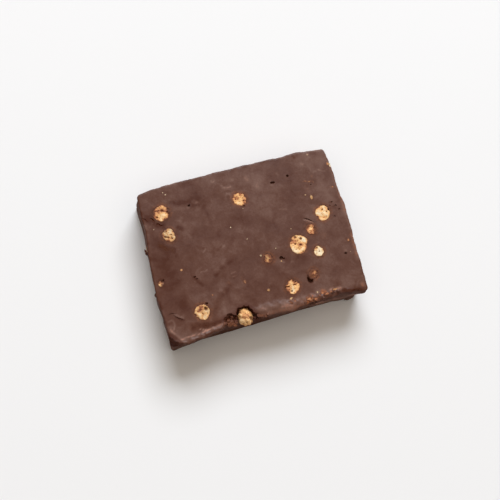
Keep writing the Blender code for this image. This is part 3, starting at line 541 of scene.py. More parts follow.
    # The left wall, pale towards the back: a painted highlight near its top.
    (1.5, 0, 1.4, ((-30, 15.5, 11.4), (-30.6, 11.5, 11.4), (-30.9, 8, 11.2))),
)
MARK_REACH = 2.2  # how far out a mark fades away, in half widths
MARK_GRAIN, MARK_UNEVEN = 0.6 * MM, 0.5  # the smallest size of its unevenness, and how strong that is
CRISP_GLOW = 0.5 * MM  # how far out the chocolate round a cut crisp is stained
GLOW_GRAIN, GLOW_UNEVEN, GLOW_DARKER, GLOW_REACH = 1.1 * MM, 0.8, 0.4, 1.7  # the last in the crisp's radii
FRESH_REACH, FRESH_EDGE, FRESH_FADE = 1.2, 1.3, 0.15  # of a break, in its radii
SIDE_SLOPE, SIDE_FADE = 0.8, 0.5  # of the surface that counts as a wall

# Small crumbs of crisp in the chocolate, in millimetres: place, two radii, turn in degrees, toast and smear.
CRUMBS = (
    (-22.3, -2.9, 0.55, 0.5, 0, 0.7, 0.5), (21.6, 9.4, 0.6, 0.95, 20, 0.5, 0.52),
    (20, 10.5, 0.4, 0.32, 0, 0.35, 0.62), (-4.8, -10.9, 0.55, 1.05, 12, 0.8, 0.66),
    (1.4, -15.1, 0.75, 0.65, 0, 0.6, 0.62), (-15.2, -12.5, 0.36, 0.3, 0, 0.8, 0.52),
    (28.8, 11, 0.36, 0.3, 0, 0.85, 0.5), (21.1, 14.7, 0.2, 0.2, 0, 0.8, 0.5),
    (22.2, 14.3, 0.26, 0.2, 0, 0.75, 0.5), (23.5, 13.8, 0.2, 0.2, 0, 0.8, 0.6),
    (-21.3, 20.6, 0.32, 0.27, 30, 0.1, 0.5), (-21.9, 21.4, 0.26, 0.18, 0, 0.1, 0.45),
    (-4.7, 6.2, 0.2, 0.17, 0, 0.1, 0.1), (-0.8, 1.5, 0.19, 0.16, 0, 0.1, 0.25),
    (12.9, 1.4, 0.26, 0.24, 0, 0.3, 0.55), (6.8, -3.3, 0.4, 0.34, 0, 0.1, 0.6),
    (1.9, -4.4, 0.62, 0.52, 0, 0.2, 0.62), (23.9, 22.6, 0.25, 0.2, 0, 0.2, 0.4),
    (-27.3, 11, 0.2, 0.2, 0, 0.1, 0.5), (28.6, -9.7, 0.2, 0.2, 0, 0.4, 0.6),
    (7.4, -19.3, 0.8, 0.6, 20, 0.4, 0.5), (6.9, -20.3, 0.75, 0.4, -30, 0.95, 0.5),
    (8.3, -20.4, 0.5, 0.7, 25, 0.9, 0.5), (15.5, -19.3, 0.4, 0.3, 0, 0.3, 0.45),
    (-2.7, -21.7, 1.3, 0.8, 10, 1.05, 0.45), (-1.6, -22.2, 0.9, 0.6, -20, 1, 0.45),
    (-13.7, -21.7, 0.6, 0.4, 40, 1, 0.72), (-10.4, -22.2, 0.5, 0.4, 0, 0.95, 0.5),
    (12.9, -20.7, 1.5, 0.55, 15, 0.84, 0.38), (14.4, -21, 1.1, 0.6, -40, 0.9, 0.4),
    (17, -19.8, 0.6, 0.9, 10, 0.9, 0.4), (18.1, -20.5, 1, 0.5, 20, 0.92, 0.42),
    (21.2, -19.8, 1.5, 0.45, 5, 0.7, 0.48), (11.6, -20.2, 0.6, 0.4, 30, 0.95, 0.44),
    (15.8, -20.3, 0.7, 0.5, -20, 0.95, 0.44), (19.6, -20.2, 0.8, 0.4, 10, 0.84, 0.46),
    (29.2, 18.4, 0.3, 0.6, 15, 0.8, 0.3), (29, -6.1, 0.4, 0.5, 0, 0.8, 0.4),
    (7.5, -7.5, 0.3, 0.2, -30, 0.5, 0.4), (0.4, 10.9, 0.25, 0.25, 0, 0.1, 0.65),
)
# Crumbs in the pit beside the bare crisp, in millimetres: place, height, radius, toast and smear.
PIT_CRUMBS = (
    (-13.4, -21.7, 13.5, 0.5, 1.05, 0.68), (-12.7, -22.2, 13.2, 0.65, 1, 0.62),
    (-11.8, -22.4, 13, 0.5, 1, 0.6), (-11, -22.6, 12.8, 0.65, 0.95, 0.66),
    (-12.5, -21.2, 12.9, 0.5, 1, 0.7), (-11.6, -21.6, 12.6, 0.75, 1, 0.66),
    (-10.6, -21.6, 12.4, 0.6, 1, 0.6), (-11.2, -20.3, 13, 0.5, 1, 0.75),
)
# Small lumps and flakes of chocolate, in millimetres: place, height (0 on the top), radii and turn in
# degrees.
FLAKES = (
    (-31.25, -8.2, 12, 0.5, 0.6, 0.5, 0), (-31.1, 5.1, 12, 0.35, 0.95, 0.4, 4),
    (11.3, -21.4, 0, 0.5, 0.4, 0.4, 20), (12.9, -21.3, 0, 0.6, 0.4, 0.4, -20),
    (13.4, -21.8, 12.5, 0.7, 0.4, 0.5, 10), (15.4, -21.7, 12.9, 0.6, 0.4, 0.5, -10),
    (16.9, -21.4, 0, 0.5, 0.4, 0.4, 30), (18.2, -21.5, 12.7, 0.7, 0.4, 0.4, 0),
    (20.1, -20.4, 0, 0.5, 0.35, 0.35, 20), (21.6, -20.5, 0, 0.6, 0.3, 0.3, -20),
    (-4.7, -22, 12.9, 0.5, 0.4, 0.4, 0), (-4, -22.4, 12.4, 0.5, 0.4, 0.4, 30),
    (-2.6, -22.4, 0, 0.6, 0.4, 0.4, 0), (-0.7, -22, 0, 0.5, 0.3, 0.3, 20),
    (30.2, -21.7, 11.6, 0.7, 0.5, 0.8, 30), (27.3, -21.6, 1.2, 1.6, 0.4, 0.35, 9),
)
CRUMB_HEIGHT = 0.3 * MM
CRUMB_PROUD = 0.02 * MM
CRUMB_DOME = 2.5 * CRUMB_PROUD
CRUMB_EDGE, CRUMB_FADE, CRUMB_SMEARED = 0.35, 0.6, 0.45  # where chocolate covers its edge, and how much
# Their lumps: lumps to the radius, then for each size how much finer it is and how high it stands.
CRUMB_LUMPS = (1.6, ((1.0, 0.25),))
PIT_LUMPS = (1.7, ((1.0, 0.6), (2.6, 0.35)))
FLAKE_LUMPS = (1.5, ((1.0, 0.5), (2.7, 0.3)))

# The photograph's frame: what the camera is aimed at, how far off it stands, how far it leans from upright
# and towards where, how the picture is turned, and how much it takes in.
CAMERA_AIM = Vector((-0.84, -1.95, 14.0)) * MM
CAMERA_DISTANCE = 400.0 * MM
CAMERA_TILT = math.radians(13.0)
CAMERA_LEAN = math.radians(-128.0)
SLAB_TURN = math.radians(15.0)  # the slab's X axis above the picture's right
LENS, SENSOR = 96.0, 36.0
CLIP = (0.01, 20.0)

# Light. Each lamp: its heading counter-clockwise from the picture's right, elevation, distance, width and
# height.
KEY_PLACE = (math.radians(85.5), math.radians(45), 2.2, 1.8, 1.3)
OVERHEAD_PLACE = (math.radians(300), math.radians(87), 1.5, 2.4, 2.4)
HORIZON_GLOW, HORIZON_TOP = 0.7, 0.12  # how bright the room is low down, and how high up that reaches
FLOOR_SIZE = 6.0
SHARP = math.radians(42)  # edges of the chocolate sharper than this are shaded so

# Noise in the finishes: size in millimetres, detail, roughness and warp.
CLOUDS, SMEARS = (11.0, 3.0, 0.55, 0.4), (3.2, 3.0, 0.5, 0.6)
GRAIN, DUST, PATCHES = (0.55, 3.0, 0.65), (0.34, 2.0, 0.6), (0.7, 2.0)
FOAM, BLOTCHES, SMEAR_EDGE = (0.3, 3.0, 0.6), (0.9, 2.0), (0.45, 3.0, 0.6)
FOAM_CELL = 0.3
# How much each counts in the chocolate's colour, then in its gloss. The walls' share paints them a little
# darker, as painted shade.
CLOUD_SHADE, SMEAR_SHADE, GRAIN_SHADE, TONE_SHADE, FRESH_SHADE, SIDE_SHADE = 1.1, 0.95, 0.5, 0.5, 0.25, 0.06
SMEAR_GLOSS, GRAIN_GLOSS, TONE_GLOSS, FRESH_GLOSS, SIDE_GLOSS = 0.25, 0.2, 0.08, 0.2, 0.5
PALE_AT = 0.6  # where the pale colour stands between the dark one and the brightest one, which serves the painted highlights
PALEST_AND_HIGHLIGHT, DEEP_STAIN, BROWNED = 2.4, 0.3, 0.35  # brightness against the pale, stain and toasted colours
SPECKS = 0.35  # how strongly the pale specks show
DUST_SEEN, PATCHES_SEEN = (0.74, 0.82), (0.3, 0.62)  # the noise where specks and patches start, and are full
# The hollows' share paints a crisp's pores, pits, splits and creases dark, as painted shade.
FOAM_SHADE, BLOTCH_SHADE, HOLLOW_SHADE = 0.4, 0.3, 0.85  # how much each counts in a crisp's colour
COVER_EDGE, COVER_SEEN = 0.5, (0.2, 0.96)  # how ragged smeared chocolate is, and the smear where it covers
CRISP_ROUGHNESS, COVER_GLOSS = 0.8, 0.3
GRAIN_RELIEF, SMEAR_RELIEF, CELL_RELIEF = 0.5, 0.8, 0.6

WALLS = {"front": FRONT_WALL, "back": BACK_WALL, "left": LEFT_WALL, "right": RIGHT_WALL, "lip": FRONT_LIP}


def colour_setting(name, description, default):
    """A colour that the user can change."""
    return bpy.props.FloatVectorProperty(
        name=name,
        description=description,
        subtype="COLOR",
        min=0.0,
        max=1.0,
        default=default,
    )


class NougatChocolateSettings(bpy.types.PropertyGroup):
    """The chocolate's colours, gloss and fineness."""

    # The dark colour also serves painted shade, and the pale one, with the brighter colour made from it,
    # painted highlights and sheen.
    dark: colour_setting("Dark", "Colour of the darkest, smoothest chocolate", (0.056, 0.0095, 0.0012))
    middle: colour_setting("Middle", "Colour of most of the chocolate", (0.0912, 0.0310, 0.0170))
    pale: colour_setting("Pale", "Colour of rubbed and powdery chocolate", (0.149, 0.0735, 0.0524))
    stain: colour_setting(
        "Stain", "Colour of chocolate with crumbs of crisp worked into it", (0.26, 0.078, 0.024)
    )
    roughness: bpy.props.FloatProperty(
        name="Roughness",
        description="How dull the cut chocolate is",
        subtype="FACTOR",
        min=0.1,
        max=1.0,
        default=0.42,
    )
    spacing: bpy.props.FloatProperty(
        name="Mesh spacing",
        description="How far apart the lines of the chocolate's mesh run",
        unit="LENGTH",
        precision=5,
        min=0.2 * MM,
        max=2.0 * MM,
        default=EVEN,
    )


class NougatCrispSettings(bpy.types.PropertyGroup):
    """The crisps' colours and foam."""

    cream: colour_setting("Cream", "Colour of a crisp's palest foam", (0.82, 0.70, 0.485))
    gold: colour_setting("Gold", "Colour of lightly toasted foam", (0.80, 0.45, 0.182))
    toasted: colour_setting("Toasted", "Colour of well toasted foam and crust", (0.43, 0.157, 0.072))
    cell: bpy.props.FloatProperty(
        name="Cell size",
        description="How large the cells of a crisp's foam are",
        unit="LENGTH",
        precision=5,
        min=0.2 * MM,
        max=2.0 * MM,
        default=CELL,
    )


class NougatStageSettings(bpy.types.PropertyGroup):
    """The floor and the light."""

    floor: colour_setting("Floor", "Colour of the floor", (0.8, 0.8, 0.8))
    key: bpy.props.FloatProperty(
        name="Key light",
        description="Power of the large soft light behind the slab",
        unit="POWER",
        min=0.0,
        default=59.4,
    )
    key_colour: colour_setting("Key colour", "Colour of the key light", (0.90, 0.942, 1.0))
    overhead: bpy.props.FloatProperty(
        name="Overhead light",
        description="Power of the soft light overhead",
        unit="POWER",
        min=0.0,
        default=11.7,
    )
    overhead_colour: colour_setting("Overhead colour", "Colour of the light overhead", (1.0, 0.87, 0.73))
    sky: bpy.props.FloatProperty(
        name="Ambient light",
        description="Strength of the light from all round",
        min=0.0,
        default=0.13,
    )
    sky_colour: colour_setting("Ambient colour", "Colour of the light from all round", (1.0, 0.98, 0.95))


class Wire:
    """A value inside a material. Arithmetic on it adds Math nodes."""

    def __init__(self, finish, socket):
        self.finish, self.socket = finish, socket

    def _math(self, operation, first, second, clamp=False):
        settings = {"operation": operation, "use_clamp": clamp}
        return self.finish.node("ShaderNodeMath", settings, {0: first, 1: second})

    def __add__(self, other):
        return self._math("ADD", self, other)

    def __radd__(self, other):
        return self._math("ADD", other, self)

    def __sub__(self, other):
        return self._math("SUBTRACT", self, other)

    def __rsub__(self, other):
        return self._math("SUBTRACT", other, self)

    def __mul__(self, other):
        return self._math("MULTIPLY", self, other)

    def __rmul__(self, other):
        return self._math("MULTIPLY", other, self)

    def clipped(self):
        """The value, held between 0 and 1."""
        return self._math("ADD", self, 0.0, clamp=True)


class Finish:
    """A material being made from nodes."""

    def __init__(self, name):
        self.material = bpy.data.materials.new(name)
        self.material.use_nodes = True
        self.tree = self.material.node_tree
        self.shader = self.tree.nodes["Principled BSDF"]

    def node(self, kind, settings, sockets, output=0):
        """Adds a node of that kind: its settings first, then the values or wires of its sockets."""
        made = self.tree.nodes.new(kind)
        for name, value in settings.items():
            if name == "stops":
                self.set_stops(made.color_ramp, value)
            else:
                setattr(made, name, value)
        for key, value in sockets.items():
            self.plug(made.inputs[key], value)
        return Wire(self, made.outputs[output])

    def plug(self, socket, value):
        if isinstance(value, Wire):
            self.tree.links.new(value.socket, socket)
        elif socket.type == "RGBA":
            socket.default_value = (*value[:3], 1.0)
        else:
            socket.default_value = value

    @staticmethod
    def set_stops(ramp, stops):
        ramp.elements[0].position = stops[0][0]
        ramp.elements[-1].position = stops[-1][0]
        for position, _ in stops[1:-1]:
            ramp.elements.new(position)
        for element, (_, colour) in zip(ramp.elements, stops):
            element.color = (*colour[:3], 1.0)

    def set(self, **values):
        """Sets or links the shader's own sockets, with _ for a space in their names."""
        for name, value in values.items():
            self.plug(self.shader.inputs[name.replace("_", " ")], value)

    def place(self):
        """The object's own coordinates, in millimetres."""
        metres = self.node("ShaderNodeTexCoord", {}, {}, "Object")
        factors = (1.0 / MM, 1.0 / MM, 1.0 / MM)
        return self.node("ShaderNodeVectorMath", {"operation": "MULTIPLY"}, {0: metres, 1: factors})

    def noise(self, place, size, detail=2.0, roughness=0.5, warp=0.0):
        """Smooth random values from about 0 to 1, with features of about that size in millimetres."""
        sockets = {"Vector": place, "Scale": 1.0 / size, "Detail": detail, "Roughness": roughness}
        sockets["Distortion"] = warp
        return self.node("ShaderNodeTexNoise", {}, sockets)

    def cells(self, place, size):
        """Distance inside random cells of about that size in millimetres."""
        return self.node("ShaderNodeTexVoronoi", {"feature": "F1"}, {"Vector": place, "Scale": 1.0 / size})

    def stored(self, name):
        """A value kept on the mesh's points."""
        return self.node("ShaderNodeAttribute", {"attribute_name": name}, {}, "Fac")

    def span(self, value, low, high):
        """The value's share of the way from low to high, eased and held between 0 and 1."""
        settings = {"interpolation_type": "SMOOTHSTEP", "clamp": True}
        return self.node("ShaderNodeMapRange", settings, {"Value": value, "From Min": low, "From Max": high})

    def mix(self, first, second, share):
        settings = {"data_type": "RGBA"}
        return self.node("ShaderNodeMix", settings, {0: share, 6: first, 7: second}, 2)

    def ramp(self, value, stops):
        return self.node("ShaderNodeValToRGB", {"stops": stops}, {0: value})

    def bump(self, height, reach, strength):
        """A normal from a height of 0 to 1 that stands for so many millimetres."""
        sockets = {"Height": height, "Distance": reach * MM, "Strength": strength}
        return self.node("ShaderNodeBump", {}, sockets)


def scaled_colour(colour, factor):
    """A colour so many times as bright."""
    return [channel * factor for channel in colour]


def chocolate_finish():
    """Cut chocolate: satin and mottled, paler in some places and redder in others, with the marks' painted
    highlights and painted shade.
    """
    known = bpy.data.materials.get("cut chocolate")
    if known:
        return known
    want = bpy.context.scene.nougat_chocolate
    made = Finish("cut chocolate")
    place = made.place()
    tone, stain, fresh, side = (made.stored(name) for name in ("tone", "stain", "fresh", "side"))
    clouds, smears, grain, dust = (made.noise(place, *kind) for kind in (CLOUDS, SMEARS, GRAIN, DUST))
    level = 0.5 + (clouds - 0.5) * CLOUD_SHADE + (smears - 0.5) * SMEAR_SHADE + (grain - 0.5) * GRAIN_SHADE
    # The walls are painted a little darker here, as painted shade.
    level = level + tone * TONE_SHADE - fresh * FRESH_SHADE - side * SIDE_SHADE
    shade = (level * PALE_AT).clipped()
    palest_and_highlight = scaled_colour(want.pale, PALEST_AND_HIGHLIGHT)
    # Past the pale colour the ramp runs on to the brightest one, which the painted highlights and the palest
    # streaks reach.
    stops = ((0.0, want.dark), (PALE_AT / 2, want.middle), (PALE_AT, want.pale), (1.0, palest_and_highlight))
    colour = made.mix(made.ramp(shade, stops), want.pale, made.span(dust, *DUST_SEEN) * SPECKS)
    rust = made.ramp(shade, ((0.0, scaled_colour(want.stain, DEEP_STAIN)), (0.5, want.stain)))
    patchy = made.span(made.noise(place, *PATCHES), *PATCHES_SEEN)
    colour = made.mix(colour, rust, (stain * patchy).clipped())
    rough = want.roughness + (smears - 0.5) * SMEAR_GLOSS + (grain - 0.5) * GRAIN_GLOSS
    rough = rough + tone * TONE_GLOSS + fresh * FRESH_GLOSS + side * SIDE_GLOSS
    relief = grain * GRAIN_RELIEF + smears * SMEAR_RELIEF
    made.set(
        Base_Color=colour,
        Roughness=rough,
        IOR=1.45,
        Specular_IOR_Level=0.3,
        Normal=made.bump(relief, 0.05, 0.7),
    )
    return made.material


def crisp_finish():
    """Toasted cereal foam: dry, cream to brown, with chocolate smeared over it in places, and painted shade
    in its hollows.
    """
    known = bpy.data.materials.get("toasted crisp")
    if known:
        return known
    want, chocolate = bpy.context.scene.nougat_crisp, bpy.context.scene.nougat_chocolate
    made = Finish("toasted crisp")
    place = made.place()
    toast, smear, hollow = made.stored("toast"), made.stored("smear"), made.stored("hollow")
    fine, blotch, edge = (made.noise(place, *kind) for kind in (FOAM, BLOTCHES, SMEAR_EDGE))
    level = toast + (fine - 0.5) * FOAM_SHADE + (blotch - 0.5) * BLOTCH_SHADE
    brown = scaled_colour(want.toasted, BROWNED)
    stops = ((0.0, want.cream), (0.55, want.gold), (0.9, want.toasted), (1.0, brown))
    # Pores, pits, splits and creases are mixed towards the dark brown: painted shade.
    colour = made.mix(made.ramp(level.clipped(), stops), brown, hollow * HOLLOW_SHADE)
    cover = made.span(smear + (edge - 0.5) * COVER_EDGE, *COVER_SEEN)
    colour = made.mix(colour, chocolate.middle, cover)
    relief = fine + made.cells(place, FOAM_CELL) * CELL_RELIEF
    made.set(
        Base_Color=colour,
        Roughness=CRISP_ROUGHNESS - cover * COVER_GLOSS,
        IOR=1.4,
        Specular_IOR_Level=0.25,
        Normal=made.bump(relief, 0.08, 0.7),
    )
    return made.material


def floor_finish():
    """Plain pale floor."""
    want = bpy.context.scene.nougat_stage
    made = Finish("pale floor")
    made.set(Base_Color=want.floor, Roughness=0.9, IOR=1.4, Specular_IOR_Level=0.0)
    return made.material


def add_object(name, mesh, finish=None):
    obj = bpy.data.objects.new(name, mesh)
    bpy.context.scene.collection.objects.link(obj)
    if finish:
        mesh.materials.append(finish)
    return obj


def finish_piece(obj, *nodes, slot="crisp"):
    """Fixes a piece to the slab, in place of its solid if it has one."""
    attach(obj, "root")
    if nodes:
        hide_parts(*nodes)


def as_mesh(shape, name):
    """Turns a bmesh into a mesh and frees it."""
    mesh = bpy.data.meshes.new(name)
    shape.to_mesh(mesh)
    shape.free()
    return mesh


def smooth_step(share):
    share = min(max(share, 0.0), 1.0)
    return share * share * (3.0 - 2.0 * share)


def bell(distance, reach):
    """1 at no distance, falling smoothly to almost 0 at twice the reach."""
    return math.exp(-((distance / reach) ** 2))


def bumps(point, grain, height, shift):
    """Smooth random unevenness: bumps of about that grain, up to about that height either way."""
    return height * noise.noise(point / grain + Vector((shift, shift, shift)))


def top_level(x, y):
    """How high the top of the slab lies away from its rim."""
    flat = Vector((x, y, 0.0))
    return HEIGHT + bumps(flat, *TOP_SWELL) + bumps(flat, *TOP_RIPPLE) + bumps(flat, *TOP_GRAIN)


@lru_cache(maxsize=None)
def wall_row(wall, place):
    """The values of a wall's table at a place along it, in metres."""
    rows = [[value * MM for value in row] for row in WALLS[wall]]
    if place <= rows[0][0]:
        return rows[0][1:]
    for before, after in zip(rows, rows[1:]):
        if place <= after[0]:
            share = smooth_step((place - before[0]) / (after[0] - before[0]))
            return [a + (b - a) * share for a, b in zip(before[1:], after[1:])]
    return rows[-1][1:]


@lru_cache(maxsize=None)
def wall_at(wall, place, share_up):
    """(stand, shoulder) of a wall at a place along it and a share of the slab's height."""
    stand, shoulder, foot = wall_row(wall, place)
    return stand + foot * (1.0 - share_up) ** 2, shoulder


class Place:
    """A point of the slab, from its shares u, v (-1 to 1) and w (0 to 1) of the length, depth and height."""

    def __init__(self, u, v, w):
        self.u, self.v, self.w = u, v, w
        along_x, along_y = u * HALF_LENGTH, v * HALF_DEPTH
        left, right = wall_at("left", along_y, w), wall_at("right", along_y, w)
        front, back = wall_at("front", along_x, w), wall_at("back", along_x, w)
        self.x = -left[0] + (left[0] + right[0]) * (1 + u) / 2
        self.y = -front[0] + (front[0] + back[0]) * (1 + v) / 2
        gaps = (self.x + left[0], right[0] - self.x, self.y + front[0], back[0] - self.y)
        self.round_corner(gaps, left[0], right[0], front[0], back[0])
        weights = [1.0 / (gap + NEAR) ** 2 for gap in gaps]
        total = sum(weights)
        shoulders = [wall[1] for wall in (left, right, front, back)]
        self.shoulder = sum(weight * shoulder for weight, shoulder in zip(weights, shoulders)) / total
        self.frontness = weights[2] / total
        self.along = along_x
        self.roughness = 1.0 + (FRONT_ROUGHNESS - 1.0) * self.frontness

    def round_corner(self, gaps, left, right, front, back):
        """Pulls a point near an upright corner onto its rounding, and finds how far in from the rim it is."""
        side_x, side_y = (-1 if gaps[0] < gaps[1] else 1), (-1 if gaps[2] < gaps[3] else 1)
        wall_x, wall_y = (left if side_x < 0 else right), (front if side_y < 0 else back)
        inner = Vector((side_x * (wall_x - CORNER_RADIUS), side_y * (wall_y - CORNER_RADIUS)))
        out = Vector(((self.x - inner.x) * side_x, (self.y - inner.y) * side_y))
        if out.x > 0 and out.y > 0:
            reach = max(out)
            out = out.normalized() * reach
            self.x, self.y = inner.x + side_x * out.x, inner.y + side_y * out.y
            self.outward = Vector((side_x * out.x, side_y * out.y)).normalized()
            self.inset = CORNER_RADIUS - reach
        elif out.x > out.y:
            self.outward, self.inset = Vector((side_x, 0.0)), CORNER_RADIUS - out.x
        else:
            self.outward, self.inset = Vector((0.0, side_y)), CORNER_RADIUS - out.y

    def rim(self, width, drop, fullness=2.0):
        """How far a rounding of that width and drop lies below its face here."""
        if self.inset >= width:
            return 0.0
        across = 1.0 - self.inside() / width
        return drop * (1.0 - (1.0 - across**fullness) ** (1.0 / fullness))

    def inside(self):
        """How far in from the rim it is, and 0 outside."""
        return max(self.inset, 0.0)

    def outwards(self, distance):
        """A step straight out of the wall."""
        return Vector((self.outward.x * distance, self.outward.y * distance, 0.0))

    def point(self):
        """The point with the slab's broad unevenness, as in its solid."""
        drop = LEAST_DROP + SHOULDER_DROP * self.shoulder
        swell = bumps(Vector((self.x, self.y, 0.0)), *TOP_SWELL)
        full = 2.0 + (FULLNESS - 2.0) * smooth_step(self.shoulder / MM - WIDE_SHOULDER)
        top = HEIGHT - self.rim(self.shoulder, drop, full) + swell
        bottom = self.rim(FOOT_WIDTH, FOOT_RADIUS)
        spot = Vector((self.x, self.y, bottom + (top - bottom) * self.w))
        least, full_at = STEADY_BASE
        out = (bumps(spot, *WALL_WAVE) + bumps(spot, *WALL_CRAG)) * self.roughness
        out *= least + (1.0 - least) * smooth_step(self.w / full_at)
        out *= math.exp(-self.inside() / FOLLOW)
        return spot + self.outwards(out)

    def fine_point(self):
        """The point with the finer relief of cut chocolate as well."""
        spot = self.point()
        near = math.exp(-self.inside() / GRAIN_FOLLOW)
        if near > FAINT and self.w > 0:
            strand = Vector((spot.x / DRAG_ACROSS, spot.y / DRAG_ACROSS, spot.z / DRAG_ALONG))
            out = (bumps(spot, *WALL_GRAIN) * self.roughness + DRAG_HEIGHT * noise.noise(strand)) * near
            spot += self.outwards(out * smooth_step(self.w / STEADY_BASE[1]))
        flat = Vector((spot.x, spot.y, 0.0))
        if self.w == 1:
            spot.z += bumps(flat, *TOP_RIPPLE) + bumps(flat, *TOP_GRAIN)
            spot.z += bumps(flat, *RIM_CRUMBLE) * bell(self.inside(), RIM_REACH)
        if self.w > LIP_FOOT and self.frontness > FAINT:
            lean, height, middle, half, crumble = wall_row("lip", self.along)
            grown = self.frontness * smooth_step((self.w - LIP_FOOT) / (LIP_FULL - LIP_FOOT))
            uneven = 1.0 + bumps(flat, *LIP_WAVE)
            lumps = noise.noise(flat / LIP_LUMP) + SMALL_LUMPS * noise.noise(spot / (LIP_LUMP / 2))
            lumps *= crumble
            spot.y -= (lean - LUMP_DRAWN_IN * lumps) * grown * math.exp(-self.inside() / FOLLOW)
            spot.z += height * grown * uneven * bell(self.inset - middle, half)
            spot.z += lumps * grown * bell(self.inset - middle, LUMP_SPREAD * half)
        return spot


def surface_level(x, y):
    """How high the top or its rounded rim lies there."""
    spot = Place(x / HALF_LENGTH, y / HALF_DEPTH, 1)
    for _ in range(4):
        found = spot.fine_point()
        spot = Place(spot.u + (x - found.x) / HALF_LENGTH, spot.v + (y - found.y) / HALF_DEPTH, 1)
    return spot.fine_point().z


def lines(half, even):
    """Where mesh lines run between -1 and 1 along a side of that half size."""
    near = [distance / half for distance in EDGE_LINES]
    count = round(2 * half * (1 - near[-1]) / even)
    between = [-1 + near[-1] + 2 * (1 - near[-1]) * i / count for i in range(1, count)]
    return [-1 + n for n in near] + between + [1 - n for n in reversed(near)]


def slab_shape(even):
    """The chocolate before anything is cut out of it: mesh lines laid on its walls, top and underside."""
    across, deep = lines(HALF_LENGTH, even), lines(HALF_DEPTH, even)
    rows = round(HEIGHT / (ROW_HEIGHT * even / EVEN))
    high = [row / rows for row in range(rows + 1)]
    last = (len(across) - 1, len(deep) - 1, len(high) - 1)
    shape = bmesh.new()
    corners = {}

    def corner(*index):
        if index not in corners:
            i, j, k = index
            corners[index] = shape.verts.new(Place(across[i], deep[j], high[k]).fine_point())
        return corners[index]

    def sheet(first, second, fixed, value, flip):
        """The faces of one side of the box: two running directions, and one that is held."""
        for a in range(last[first]):
            for b in range(last[second]):
                ring = []
                for step_a, step_b in ((0, 0), (1, 0), (1, 1), (0, 1)):
                    index = [0, 0, 0]
                    index[first], index[second], index[fixed] = a + step_a, b + step_b, value
                    ring.append(corner(*index))
                shape.faces.new(reversed(ring) if flip else ring)

    for first, second, fixed in ((0, 1, 2), (1, 2, 0), (2, 0, 1)):
        sheet(first, second, fixed, last[fixed], False)
        sheet(first, second, fixed, 0, True)
    return shape


def wave(seed, fineness, height, shift=(0.0, 0.0, 0.0)):
    """Smooth random values up to about that height, with so many bumps to the seed's unit."""
    return height * noise.noise(seed * fineness + Vector(shift))


def swollen(seed, lumps, shift=(0.0, 0.0, 0.0)):
    """How far a lumpy form stands out, in radii: lumps are (fineness, height) for each size."""
    swell = 1.0
    for lump in lumps:
        swell += wave(seed, *lump, shift)
    return swell


def lumpy_ball(radii, shift, lumps, subdivisions):
    """A ball with three radii and lumps of several sizes, each (lumps to the radius, height)."""
    ball = bmesh.new()
    bmesh.ops.create_icosphere(ball, subdivisions=subdivisions, radius=1.0)
    for vertex in ball.verts:
        swell = swollen(vertex.co, lumps, (shift, 0.0, 2.0 * shift))
        vertex.co = Vector([side * radius * swell for side, radius in zip(vertex.co, radii)])
    return ball


def join_rings(shape, rings):
    """Adds the faces between rings of points, which all have as many points."""
    for before, after in zip(rings, rings[1:]):
        for i in range(len(before)):
            shape.faces.new((before[i - 1], after[i - 1], after[i], before[i]))


def toast_layers(shape):
    """The values that a crisp's finish reads from its points."""
    return [shape.verts.layers.float.new(name) for name in ("toast", "smear", "hollow")]


def set_toast(vertex, layers, values):
    for layer, value in zip(layers, values):
        vertex[layer] = value


